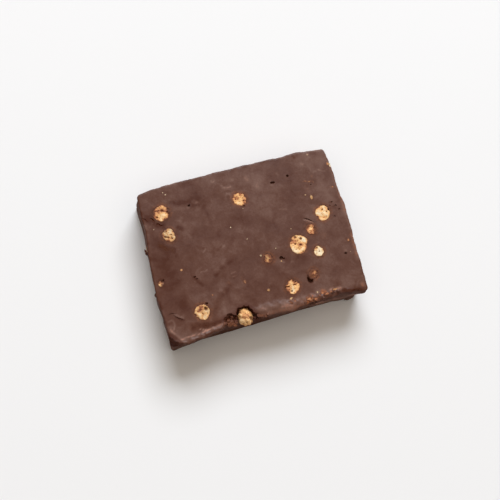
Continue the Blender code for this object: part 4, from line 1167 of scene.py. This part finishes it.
class Crisp:
    """A cereal crisp cut open: built about the middle of its cut face, which looks along its own +Z."""

    def __init__(self, node, spot, out, across, deep):
        self.node, self.spot = node, Vector(spot)
        words = node.split("_")
        self.name = "_".join([words[1], "crisp", *words[2:]])
        if Vector(out).z > 0.9:
            self.turn = Matrix.Rotation(-SLAB_TURN, 4, "Z")
        else:
            self.turn = Vector(out).to_track_quat("Z", "Y").to_matrix().to_4x4()
        draw = random.Random(node)
        self.shift = Vector([draw.uniform(0.0, 50.0) for _ in range(3)])
        mean = (across + deep) / 4
        look = CRISP_LOOKS.get(node) or self.any_look(draw, mean / MM)
        self.outline = [radius * MM for radius in look["outline"]]
        self.mean = sum(self.outline) / len(self.outline)
        self.toast, self.smear, self.glow = look["toast"], look["smear"], look.get("glow", USUAL_GLOW)
        self.pores = [(Vector(pore[:2]) * MM, pore[2] * MM) for pore in look["pores"]]
        self.patches = [(Vector(patch[:2]) * MM, patch[2] * MM, *patch[3:]) for patch in look["patches"]]
        self.cracks = [[Vector(spot) * MM for spot in crack] for crack in look.get("cracks", ())]
        self.folds = [[Vector(spot) * MM for spot in fold] for fold in look.get("folds", ())]

    @staticmethod
    def any_look(draw, mean):
        """Random looks for a crisp that the photograph doesn't show."""
        outline = [mean * draw.uniform(*HIDDEN_OUTLINE) for _ in range(12)]
        spread = (-HIDDEN_SPREAD, HIDDEN_SPREAD)
        spots = [(draw.uniform(*spread) * mean, draw.uniform(*spread) * mean) for _ in range(7)]
        return {
            "outline": outline,
            "toast": draw.uniform(*HIDDEN_TOAST),
            "smear": draw.uniform(*HIDDEN_SMEAR),
            "pores": [(x, y, draw.uniform(*HIDDEN_PORE)) for x, y in spots[:4]],
            "patches": [
                (x, y, mean / 3, *(draw.uniform(*span) for span in HIDDEN_PATCH)) for x, y in spots[4:]
            ],
        }

    def radius(self, angle):
        """The cut face's radius in that direction."""
        step = angle / math.tau * len(self.outline)
        low = math.floor(step)
        before, after = (self.outline[(low + i) % len(self.outline)] for i in (0, 1))
        smooth = before + (after - before) * smooth_step(step - low)
        spot = Vector((math.cos(angle), math.sin(angle), 0.0)) * (self.mean / OUTLINE_GRAIN) + self.shift
        return smooth * swollen(spot, OUTLINE_WAVES)

    def sway(self, spot, size, amount):
        """Smooth random values of the crisp's own, of that size and up to about that amount."""
        return amount * noise.noise(spot / size + self.shift)

    def at(self, x, y, to_rim):
        """(height, toast, smear, hollow) of the cut face at a point that is so far in from its rim."""
        spot, flat = Vector((x, y, 0.0)), Vector((x, y))
        nearest = noise.voronoi(spot / bpy.context.scene.nougat_crisp.cell + self.shift)[0]
        pit = smooth_step((CELL_PIT[0] - nearest[0]) / CELL_PIT[1])
        wall = smooth_step(1.0 - (nearest[1] - nearest[0]) / CELL_WALL)
        level = bumps(spot + self.shift * MM, *FACE_WAVE) - CELL_DEPTH * pit
        toast = self.toast + (PIT_TOAST * pit - WALL_TOAST * wall)
        toast += sum(self.sway(spot, *wave) for wave in TOAST_WAVES)
        # What darkens the foam's pits, the pores and the splits below is painted shade.
        smear, hollow = self.smear, PIT_SHADE * pit
        for middle, size in self.pores:
            off = (flat - middle).length * (1.0 + self.sway(spot, *PORE_RAGGED))
            depth = smooth_step((PORE_EDGE * size - off) / (PORE_FADE * size))
            level -= depth * size * PORE_DEPTH
            hollow = max(hollow, depth)
        for middle, size, more_toast, more_smear in self.patches:
            share = bell((flat - middle).length, size)
            toast += more_toast * share
            smear += more_smear * share
        for fold in self.folds:
            depth = bell(self.off_path(flat, fold) * (1.0 + self.sway(spot, *FOLD_RAGGED)), FOLD_WIDTH)
            level -= FOLD_DEPTH * depth
            toast += FOLD_TOAST * depth
        for crack in self.cracks:
            off = self.off_path(flat, crack) + SPLIT_WIDTH * self.sway(spot, *SPLIT_RAGGED)
            depth = smooth_step(SPLIT_EDGE - off / SPLIT_WIDTH)
            level -= SPLIT_DEPTH * depth
            hollow = max(hollow, depth)
        uneven = (1.0 + self.sway(spot, *RIM_RAGGED)) * min(self.mean / LARGE_CRISP, 1.0)
        brown, rim = (smooth_step(1.0 - to_rim / (reach * uneven)) for reach in (RIM_TOAST, RIM_SMEAR))
        return level - RIM_LOWER * rim, toast + RIM_BROWNER * brown, smear + RIM_SMEARED * rim, hollow

    @staticmethod
    def off_path(point, path):
        """How far a point is from the line through several places."""
        nearest = math.inf
        for start, end in zip(path, path[1:]):
            along = end - start
            share = min(max((point - start).dot(along) / along.length_squared, 0.0), 1.0)
            nearest = min(nearest, (point - start - along * share).length)
        return nearest

    def sides(self, step, least, most, size=1.0):
        """The crisp's outline at mesh lines about that far apart: x, y and radius of each."""
        count = min(max(round(math.tau * self.mean / step), least), most)
        angles = [math.tau * side / count for side in range(count)]
        radii = [self.radius(angle) * size for angle in angles]
        return [(math.cos(a) * radius, math.sin(a) * radius, radius) for a, radius in zip(angles, radii)]

    def bowl(self, share):
        """(radius factor, depth) of the ball under the cut face, a share of the way round to its bottom."""
        ball, centre = BALL_OVER_CUT, math.sqrt(BALL_OVER_CUT**2 - 1.0)
        start = math.asin(1.0 / ball)
        turn = start + (math.pi - start) * share
        return ball * math.sin(turn), (centre - ball * math.cos(turn)) * self.mean

    def shape(self):
        """The crisp: its cut face with pores and cells, and the rest of its ball below."""
        shape = bmesh.new()
        layers = toast_layers(shape)
        sides = self.sides(FACE_STEP, 36, 108)
        count = max(round(self.mean / RING_STEP), 8)

        def vertex(x, y, z, values):
            made = shape.verts.new((x, y, z))
            set_toast(made, layers, values)
            return made

        def vertex_on_face(x, y, to_rim):
            level, *values = self.at(x, y, to_rim)
            return vertex(x, y, level, values)

        rings = []
        for share in (ring / count for ring in range(1, count + 1)):
            rings.append([vertex_on_face(x * share, y * share, r * (1.0 - share)) for x, y, r in sides])
        for factor, depth in (self.bowl(ring / RINGS_BELOW) for ring in range(1, RINGS_BELOW)):
            rings.append([vertex(x * factor, y * factor, -depth, BURIED) for x, y, _ in sides])
        middle = vertex_on_face(0.0, 0.0, self.mean)
        bottom = vertex(0.0, 0.0, -self.bowl(1.0)[1], BURIED)
        join_rings(shape, rings)
        for i in range(len(sides)):
            shape.faces.new((middle, rings[0][i - 1], rings[0][i]))
            shape.faces.new((bottom, rings[-1][i], rings[-1][i - 1]))
        return shape

    def build(self, finish):
        mesh = as_mesh(self.shape(), self.name)
        mesh.shade_smooth()
        crisp = add_object(self.name, mesh, finish)
        crisp.matrix_world = Matrix.Translation(self.spot) @ self.turn
        finish_piece(crisp, self.node)

    def socket(self):
        """A closed cutter of the crisp's own form, a little tighter, that reaches out of the face."""
        shape = bmesh.new()
        sides = self.sides(SOCKET_STEP, 20, 56, TUCK)
        levels = [(1.0, -SOCKET_REACH), (1.0, 0.0)]
        levels += [self.bowl(ring / SOCKET_RINGS) for ring in range(1, SOCKET_RINGS)]
        rings = []
        for factor, depth in levels:
            rings.append([shape.verts.new((x * factor, y * factor, -depth)) for x, y, _ in sides])
        join_rings(shape, rings)
        shape.faces.new(rings[0])
        shape.faces.new(reversed(rings[-1]))
        cutter = add_object(self.name + "_socket", as_mesh(shape, self.name + "_socket"))
        cutter.matrix_world = Matrix.Translation(self.spot) @ self.turn
        return cutter


def wall_spot(wall, place, height):
    """(point on a wall, the way it faces) at a place along the wall and a height."""
    along = place / (HALF_LENGTH if wall in ("front", "back") else HALF_DEPTH)
    shares = {"front": (along, -1), "back": (along, 1), "left": (-1, along), "right": (1, along)}[wall]
    spot = Place(*shares, height / HEIGHT)
    return spot.fine_point(), Vector((spot.outward.x, spot.outward.y, 0.0))


def top_crisps():
    """The crisps cut flush with the top."""
    made = []
    for number, row in enumerate(TOP_CRISPS, 1):
        x, y, across, deep = (value * MM for value in row)
        made.append(Crisp(f"crisp_top_{number:02d}", (x, y, top_level(x, y)), (0, 0, 1), across, deep))
    return made


def rim_crisps():
    """The crisps broken open at the top of a wall."""
    made = []
    for number, (wall, place, height, radius) in enumerate(RIM_CRISPS, 1):
        spot, out = wall_spot(wall, place * MM, height * MM)
        slant = (out + Vector((0, 0, 1))).normalized()
        middle = spot - out * RIM_SINK * radius * MM + slant * RIM_CUT * radius * MM
        across = 2.0 * radius * MM / BALL_OVER_CUT
        made.append(Crisp(f"crisp_rim_{number:02d}", middle, slant, across, across))
    return made


def spread_crisps():
    """The crisps lower down in the walls and in the underside, at the places of their solids."""
    made = []
    for node in sorted(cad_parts):
        side = node.split("_")[1] if node.startswith("crisp_") else ""
        if side not in OTHER_SIDES:
            continue
        axis, facing = OTHER_SIDES[side]
        low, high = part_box(node)
        size, spot, out = high - low, (low + high) / 2, Vector((0, 0, 0))
        out[axis] = facing
        spot[axis] = high[axis] if facing > 0 else low[axis]
        if side == "under":
            spot.z += UNDER_LIFT
        across, deep = (size[i] / BALL_OVER_CUT for i in range(3) if i != axis)
        made.append(Crisp(node, spot, out, across, deep))
    return made


def break_cutter(number, middle, radii):
    """A lumpy cutter that breaks a piece out of the chocolate."""
    ball = lumpy_ball([radius * MM for radius in radii], BREAK_SEED * number, BREAK_LUMPS, 4)
    cutter = add_object(f"break_{number}", as_mesh(ball, f"break_{number}"))
    cutter.location = Vector(middle) * MM
    return cutter


def pore_cutter(number, x, y, across, deep, depth):
    """A small lumpy pore in the top."""
    ball = lumpy_ball((across * MM, deep * MM, depth * MM), PORE_SEED * number, PORE_LUMPS, 3)
    cutter = add_object(f"pore_{number}", as_mesh(ball, f"pore_{number}"))
    cutter.location = (x * MM, y * MM, top_level(x * MM, y * MM))
    return cutter


def along_line(places, step):
    """Points along the line through those places, about that far apart, with their share of the way."""
    total = sum((after - before).length for before, after in zip(places, places[1:]))
    gone, points = 0.0, []
    for before, after in zip(places, places[1:]):
        length = (after - before).length
        count = max(1, round(length / step))
        for i in range(count):
            points.append((before.lerp(after, i / count), (gone + length * i / count) / total))
        gone += length
    points.append((places[-1], 1.0))
    return points


def crack_cutter(number, width, depth, places):
    """A thin wedge along a crack in the top, tapered to its ends."""
    shape = bmesh.new()
    points = along_line([Vector(place) * MM for place in places], CRACK_STEP)
    narrower, down = CRACK_WEDGE
    rings = []
    for i, (spot, share) in enumerate(points):
        before, after = points[max(i - 1, 0)][0], points[min(i + 1, len(points) - 1)][0]
        along = (after - before).normalized()
        across = Vector((-along.y, along.x))
        seed = Vector((spot.x / MM, spot.y / MM, number))
        spot = spot + across * MM * wave(seed, *CRACK_WANDER)
        swell = CRACK_TIP + (1.0 - CRACK_TIP) * math.sin(math.pi * share) ** 0.5
        swell *= 1.0 + wave(seed, *CRACK_SWELL)
        half, deep = width / 2 * MM * swell, depth * MM * swell
        level = top_level(spot.x, spot.y)
        corners = (
            (spot + across * half, level + CRACK_PROUD),
            (spot - across * half, level + CRACK_PROUD),
            (spot - across * half * narrower, level - deep * down),
            (spot, level - deep),
            (spot + across * half * narrower, level - deep * down),
        )
        rings.append([shape.verts.new((corner.x, corner.y, z)) for corner, z in corners])
    for before, after in zip(rings, rings[1:]):
        for i in range(5):
            shape.faces.new((before[i - 1], before[i], after[i], after[i - 1]))
    shape.faces.new(reversed(rings[0]))
    shape.faces.new(rings[-1])
    bmesh.ops.recalc_face_normals(shape, faces=shape.faces)
    return add_object(f"crack_{number}", as_mesh(shape, f"crack_{number}"))


def bare_socket():
    """A cutter that leaves a narrow gap round the bare crisp."""
    middle, radii = BARE_CRISP
    grown = [(radius + BARE_GAP) * MM for radius in radii]
    mesh = as_mesh(lumpy_ball(grown, BARE_SHIFT, BARE_LUMPS, 4), "bare_socket")
    cutter = add_object("bare_socket", mesh)
    cutter.location = Vector(middle) * MM
    return cutter


def cut_out(slab, cutters):
    """Cuts the closed cutters out of the slab's mesh, and removes them."""
    group = bpy.data.collections.new("cutters")
    bpy.context.scene.collection.children.link(group)
    for cutter in cutters:
        bpy.context.scene.collection.objects.unlink(cutter)
        group.objects.link(cutter)
    cut = slab.modifiers.new("cut", "BOOLEAN")
    cut.operation = "DIFFERENCE"
    cut.operand_type = "COLLECTION"
    cut.collection = group
    cut.solver = "MANIFOLD"
    before = len(slab.data.vertices)
    depsgraph = bpy.context.evaluated_depsgraph_get()
    mesh = bpy.data.meshes.new_from_object(slab.evaluated_get(depsgraph))
    if len(mesh.vertices) == before:
        raise RuntimeError("nothing was cut out of the chocolate")
    slab.modifiers.clear()
    slab.data = mesh
    for cutter in cutters:
        bpy.data.objects.remove(cutter)
    bpy.data.collections.remove(group)


def add_marks(points, tree, tone, stain):
    """The smears, spots and streaks of the table, its painted highlights and painted shade among them."""
    for number, (paler, stained, half, places) in enumerate(MARKS):
        size = half * MM
        shares = {}
        line = [Vector(place if len(place) == 3 else (*place, 0.0)) * MM for place in places]
        for spot, _ in along_line(line, size / 2):
            middle = Vector((spot.x, spot.y, spot.z or top_level(spot.x, spot.y)))
            for _, index, distance in tree.find_range(middle, MARK_REACH * size):
                shares[index] = max(shares.get(index, 0.0), bell(distance, size))
        for index, share in shares.items():
            seed = points[index].co / max(size, MARK_GRAIN) + Vector((number, 0, 0))
            uneven = 1.0 + MARK_UNEVEN * noise.noise(seed)
            tone[index] += paler * share * uneven
            stain[index] += stained * share * uneven


def add_glow(points, tree, tone, stain):
    """Darker, rust-coloured chocolate close round each crisp in the top."""
    for crisp in top_crisps():
        for _, index, _ in tree.find_range(crisp.spot, GLOW_REACH * crisp.mean):
            off = crisp.turn.inverted() @ (points[index].co - crisp.spot)
            beyond = math.hypot(off.x, off.y) - crisp.radius(math.atan2(off.y, off.x))
            uneven = 1.0 + GLOW_UNEVEN * noise.noise(points[index].co / GLOW_GRAIN)
            share = bell(max(beyond, 0.0), CRISP_GLOW) * uneven
            tone[index] -= GLOW_DARKER * share
            stain[index] += crisp.glow * share


def add_breaks(points, tree, fresh):
    """Freshly broken chocolate where a piece is missing."""
    for middle, radii in BREAKS:
        for _, index, _ in tree.find_range(Vector(middle) * MM, FRESH_REACH * max(radii) * MM):
            off = points[index].co - Vector(middle) * MM
            reach = math.sqrt(sum((side / (radius * MM)) ** 2 for side, radius in zip(off, radii)))
            fresh[index] = max(fresh[index], smooth_step((FRESH_EDGE - reach) / FRESH_FADE))


def mark(mesh):
    """Keeps on the chocolate's points how pale or dark it is painted, painted highlights and shade included,
    how stained and how freshly broken it is, and how far it faces sideways.
    """
    points = mesh.vertices
    tree = kdtree.KDTree(len(points))
    for point in points:
        tree.insert(point.co, point.index)
    tree.balance()
    tone, stain, fresh = ([0.0] * len(points) for _ in range(3))
    add_marks(points, tree, tone, stain)
    add_glow(points, tree, tone, stain)
    add_breaks(points, tree, fresh)
    side = [smooth_step((SIDE_SLOPE - normal.vector.z) / SIDE_FADE) for normal in mesh.vertex_normals]
    for name, values in (("tone", tone), ("stain", stain), ("fresh", fresh), ("side", side)):
        mesh.attributes.new(name, "FLOAT", "POINT").data.foreach_set("value", values)


def low_down(height, amount, start, fade):
    """That amount well below the start, and nothing above it."""
    return amount * smooth_step((start - height) / fade)


def bare_surface(spot, mean):
    """(height, toast, smear, hollow) of the bare crisp at a point of its ball, the first as a share."""
    way, upper = spot / mean, spot.z > 0
    seen = (Matrix.Rotation(SLAB_TURN, 3, "Z") @ spot) / MM
    if upper:
        wander = wave(way, *LOBE_WANDER)
        lobes = sorted(
            (math.hypot(seen.x - right + wander, seen.y - up - wander) / size, browner)
            for right, up, size, browner in BARE_LOBES
        )
        gap, toast = (lobes[1][0] - lobes[0][0]) * MM, BARE_TOAST + lobes[0][1]
    else:
        gap, toast = abs(wave(way, *LOBES_BELOW)) * MM, BARE_TOAST_BELOW
    crease = smooth_step(1.0 - gap / LOBE_CREASE)
    height = LOBE_HEIGHT * (smooth_step(gap / LOBE_ROUNDING) - 0.5)
    for grain in LOBE_GRAIN:
        height += wave(way, *grain)
    toast += CREASE_TOAST * crease + wave(way, *BARE_MOTTLE) + low_down(way.z, *LOW_TOAST)
    smear = low_down(way.z, *LOW_SMEAR) + CREASE_SMEAR * crease + BARE_SMEAR
    # The creases and pores are painted darker inside, as painted shade.
    hollow = CREASE_SHADE * crease
    for right, up, size in BARE_PORES if upper else ():
        off = math.hypot(seen.x - right, seen.y - up)
        depth = smooth_step((BARE_PORE_EDGE * size - off) / (BARE_PORE_FADE * size))
        height -= BARE_PORE_DEPTH * depth * size
        hollow = max(hollow, depth)
    return height, toast, smear, hollow


def bead(shape):
    """The points of a small ball that is added to the shape."""
    return bmesh.ops.create_icosphere(shape, subdivisions=3, radius=1.0)["verts"]


def add_crumb(shape, layers, number, x, y, across, deep, turn, toast, smear):
    """A crumb of crisp sunk in the top, smeared with chocolate round its edge."""
    fineness, lumps = CRUMB_LUMPS
    placing = Matrix.Rotation(math.radians(turn) - SLAB_TURN, 3, "Z")
    middle = Vector((x * MM, y * MM, surface_level(x * MM, y * MM)))
    for vertex in bead(shape):
        way = vertex.co.copy()
        swell = swollen(way * fineness + Vector((number * CRUMB_SEED, 0, 0)), lumps)
        side = Vector((way.x * across, way.y * deep, 0.0)) * MM * swell
        rise = (CRUMB_DOME if way.z > 0 else CRUMB_HEIGHT) * way.z
        vertex.co = middle + placing @ side + Vector((0, 0, rise - CRUMB_PROUD))
        edge = smooth_step((math.hypot(way.x, way.y) - CRUMB_EDGE) / CRUMB_FADE)
        set_toast(vertex, layers, (toast, smear + CRUMB_SMEARED * edge, 0.0))


def add_pit_crumb(shape, layers, middle, radius, toast, smear):
    """A crumb of crisp that lies in the pit."""
    fineness, lumps = PIT_LUMPS
    for vertex in bead(shape):
        vertex.co *= radius * swollen(vertex.co * fineness + middle, lumps)
        vertex.co = (vertex.co + middle) * MM
        set_toast(vertex, layers, (toast, smear, 0.0))


def add_flake(shape, number, x, y, z, across, deep, high, turn):
    """A small lump or flake of chocolate."""
    fineness, lumps = FLAKE_LUMPS
    middle = Vector((x, y, z)) * MM
    middle.z = middle.z or surface_level(middle.x, middle.y)
    placing = Matrix.Rotation(math.radians(turn), 3, "Z")
    for vertex in bead(shape):
        swell = swollen(vertex.co * fineness + Vector((number * FLAKE_SEED, 0, 0)), lumps)
        side = Vector((vertex.co.x * across, vertex.co.y * deep, vertex.co.z * high)) * swell * MM
        vertex.co = middle + placing @ side


class NOUGAT_OT_chocolate(bpy.types.Operator):
    """Builds the slab of chocolate with the crisps' sockets, pores, cracks and broken edges"""

    bl_idname = "nougat.chocolate"
    bl_label = "Chocolate"

    def execute(self, context):
        spacing = context.scene.nougat_chocolate.spacing
        slab = add_object("chocolate_slab", as_mesh(slab_shape(spacing), "chocolate_slab"))
        crisps = top_crisps() + rim_crisps() + spread_crisps()
        cutters = [*(crisp.socket() for crisp in crisps), bare_socket()]
        cutters += [break_cutter(number, *piece) for number, piece in enumerate(BREAKS, 1)]
        cutters += [pore_cutter(number, *pore) for number, pore in enumerate(TOP_PORES, 1)]
        cutters += [crack_cutter(number, *crack) for number, crack in enumerate(CRACKS, 1)]
        cut_out(slab, cutters)
        mark(slab.data)
        slab.data.materials.clear()
        slab.data.materials.append(chocolate_finish())
        slab.data.shade_smooth()
        slab.data.set_sharp_from_angle(angle=SHARP)
        finish_piece(slab, "nougat", slot="chocolate")
        return {"FINISHED"}


class NOUGAT_OT_top_crisps(bpy.types.Operator):
    """Builds the crisps that are cut flush with the top"""

    bl_idname = "nougat.top_crisps"
    bl_label = "Crisps in the top"

    def execute(self, context):
        for crisp in top_crisps():
            crisp.build(crisp_finish())
        return {"FINISHED"}


class NOUGAT_OT_wall_crisps(bpy.types.Operator):
    """Builds the crisps along the rim, in the walls and in the underside"""

    bl_idname = "nougat.wall_crisps"
    bl_label = "Crisps in the walls"

    def execute(self, context):
        for crisp in rim_crisps() + spread_crisps():
            crisp.build(crisp_finish())
        return {"FINISHED"}


class NOUGAT_OT_bare_crisp(bpy.types.Operator):
    """Builds the whole crisp that lies bare at the front edge"""

    bl_idname = "nougat.bare_crisp"
    bl_label = "Bare crisp"

    def execute(self, context):
        middle, radii = BARE_CRISP
        ball = lumpy_ball([radius * MM for radius in radii], BARE_SHIFT, BARE_LUMPS, 5)
        layers = toast_layers(ball)
        for vertex in ball.verts:
            height, *values = bare_surface(vertex.co, sum(radii) / 3 * MM)
            vertex.co *= 1.0 + height
            set_toast(vertex, layers, values)
        crisp = add_object("bare_crisp", as_mesh(ball, "bare_crisp"), crisp_finish())
        crisp.data.shade_smooth()
        crisp.location = Vector(middle) * MM
        finish_piece(crisp, "crisp_bare")
        return {"FINISHED"}


class NOUGAT_OT_crumbs(bpy.types.Operator):
    """Builds the small crumbs of crisp that show in the chocolate"""

    bl_idname = "nougat.crumbs"
    bl_label = "Crumbs"

    def execute(self, context):
        crumbs = bmesh.new()
        layers = toast_layers(crumbs)
        for number, crumb in enumerate(CRUMBS):
            add_crumb(crumbs, layers, number, *crumb)
        for x, y, z, radius, toast, smear in PIT_CRUMBS:
            add_pit_crumb(crumbs, layers, Vector((x, y, z)), radius, toast, smear)
        pieces = add_object("crisp_crumbs", as_mesh(crumbs, "crisp_crumbs"), crisp_finish())
        pieces.data.shade_smooth()
        finish_piece(pieces)
        return {"FINISHED"}


class NOUGAT_OT_flakes(bpy.types.Operator):
    """Builds the small lumps and flakes of chocolate along the edges"""

    bl_idname = "nougat.flakes"
    bl_label = "Flakes"

    def execute(self, context):
        flakes = bmesh.new()
        for number, flake in enumerate(FLAKES):
            add_flake(flakes, number, *flake)
        pieces = add_object("chocolate_flakes", as_mesh(flakes, "chocolate_flakes"), chocolate_finish())
        mark(pieces.data)
        pieces.data.shade_smooth()
        finish_piece(pieces, slot="chocolate")
        return {"FINISHED"}


class NOUGAT_OT_stage(bpy.types.Operator):
    """Builds the floor, the light and the camera"""

    bl_idname = "nougat.stage"
    bl_label = "Stage"

    def execute(self, context):
        want = context.scene.nougat_stage
        self.floor()
        self.sky(want)
        self.lamp("key light", want.key, want.key_colour, KEY_PLACE)
        self.lamp("overhead light", want.overhead, want.overhead_colour, OVERHEAD_PLACE)
        self.camera()
        context.scene.view_settings.view_transform = "Standard"
        return {"FINISHED"}

    def floor(self):
        shape = bmesh.new()
        bmesh.ops.create_grid(shape, x_segments=8, y_segments=8, size=FLOOR_SIZE / 2)
        add_object("floor", as_mesh(shape, "floor"), floor_finish())

    def sky(self, want):
        """A dim room that is brighter low down."""
        world = bpy.data.worlds.new("soft room")
        bpy.context.scene.world = world
        world.use_nodes = True
        tree = world.node_tree
        light = tree.nodes["Background"]
        way = tree.nodes.new("ShaderNodeTexCoord")
        height = tree.nodes.new("ShaderNodeSeparateXYZ")
        glow = tree.nodes.new("ShaderNodeMapRange")
        glow.interpolation_type = "SMOOTHSTEP"
        for name, value in (
            ("From Min", HORIZON_TOP * 0.5),
            ("From Max", HORIZON_TOP * 1.5),
            ("To Min", HORIZON_GLOW),
            ("To Max", want.sky),
        ):
            glow.inputs[name].default_value = value
        tree.links.new(way.outputs["Generated"], height.inputs[0])
        tree.links.new(height.outputs["Z"], glow.inputs["Value"])
        tree.links.new(glow.outputs[0], light.inputs["Strength"])
        light.inputs["Color"].default_value = (*want.sky_colour, 1.0)

    def lamp(self, name, power, colour, placing):
        heading, elevation, distance, width, height = placing
        heading -= SLAB_TURN
        lamp = bpy.data.lights.new(name, "AREA")
        lamp.shape = "ELLIPSE"
        lamp.size, lamp.size_y = width, height
        lamp.energy = power
        lamp.color = colour
        flat = math.cos(elevation)
        way = Vector((math.cos(heading) * flat, math.sin(heading) * flat, math.sin(elevation)))
        held = add_object(name, lamp)
        held.location = CAMERA_AIM + way * distance
        held.rotation_mode = "QUATERNION"
        held.rotation_quaternion = way.to_track_quat("Z", "Y")

    def camera(self):
        lens = bpy.data.cameras.new("camera")
        lens.lens, lens.sensor_width = LENS, SENSOR
        lens.clip_start, lens.clip_end = CLIP
        back = Vector((
            math.sin(CAMERA_TILT) * math.cos(CAMERA_LEAN),
            math.sin(CAMERA_TILT) * math.sin(CAMERA_LEAN),
            math.cos(CAMERA_TILT),
        ))
        up = Vector((math.sin(SLAB_TURN), math.cos(SLAB_TURN), 0.0))
        right = up.cross(back).normalized()
        up = back.cross(right)
        place = CAMERA_AIM + back * CAMERA_DISTANCE
        camera = add_object("camera", lens)
        camera.matrix_world = Matrix((
            (right.x, up.x, back.x, place.x),
            (right.y, up.y, back.y, place.y),
            (right.z, up.z, back.z, place.z),
            (0.0, 0.0, 0.0, 1.0),
        ))
        bpy.context.scene.camera = camera


class NOUGAT_PT_panel(bpy.types.Panel):
    """The nougat's settings and steps"""

    bl_idname = "NOUGAT_PT_panel"
    bl_label = "Chocolate nougat"
    bl_space_type = "VIEW_3D"
    bl_region_type = "UI"
    bl_category = "Nougat"

    def draw(self, context):
        for settings in SETTINGS:
            group = getattr(context.scene, settings)
            box = self.layout.box()
            for name in group.__annotations__:
                box.prop(group, name)
        for step in STEPS:
            self.layout.operator(step.bl_idname)


SETTINGS = {
    "nougat_chocolate": NougatChocolateSettings,
    "nougat_crisp": NougatCrispSettings,
    "nougat_stage": NougatStageSettings,
}
STEPS = (
    NOUGAT_OT_chocolate,
    NOUGAT_OT_top_crisps,
    NOUGAT_OT_wall_crisps,
    NOUGAT_OT_bare_crisp,
    NOUGAT_OT_crumbs,
    NOUGAT_OT_flakes,
    NOUGAT_OT_stage,
)


def register():
    for kind in (*SETTINGS.values(), *STEPS, NOUGAT_PT_panel):
        bpy.utils.register_class(kind)
    for name, kind in SETTINGS.items():
        setattr(bpy.types.Scene, name, bpy.props.PointerProperty(type=kind))


def unregister():
    for name in SETTINGS:
        delattr(bpy.types.Scene, name)
    for kind in reversed((*SETTINGS.values(), *STEPS, NOUGAT_PT_panel)):
        bpy.utils.unregister_class(kind)


def main():
    register()
    bpy.ops.nougat.chocolate()
    bpy.ops.nougat.top_crisps()
    bpy.ops.nougat.wall_crisps()
    bpy.ops.nougat.bare_crisp()
    bpy.ops.nougat.crumbs()
    bpy.ops.nougat.flakes()
    bpy.ops.nougat.stage()


if __name__ == "__main__":
    main()
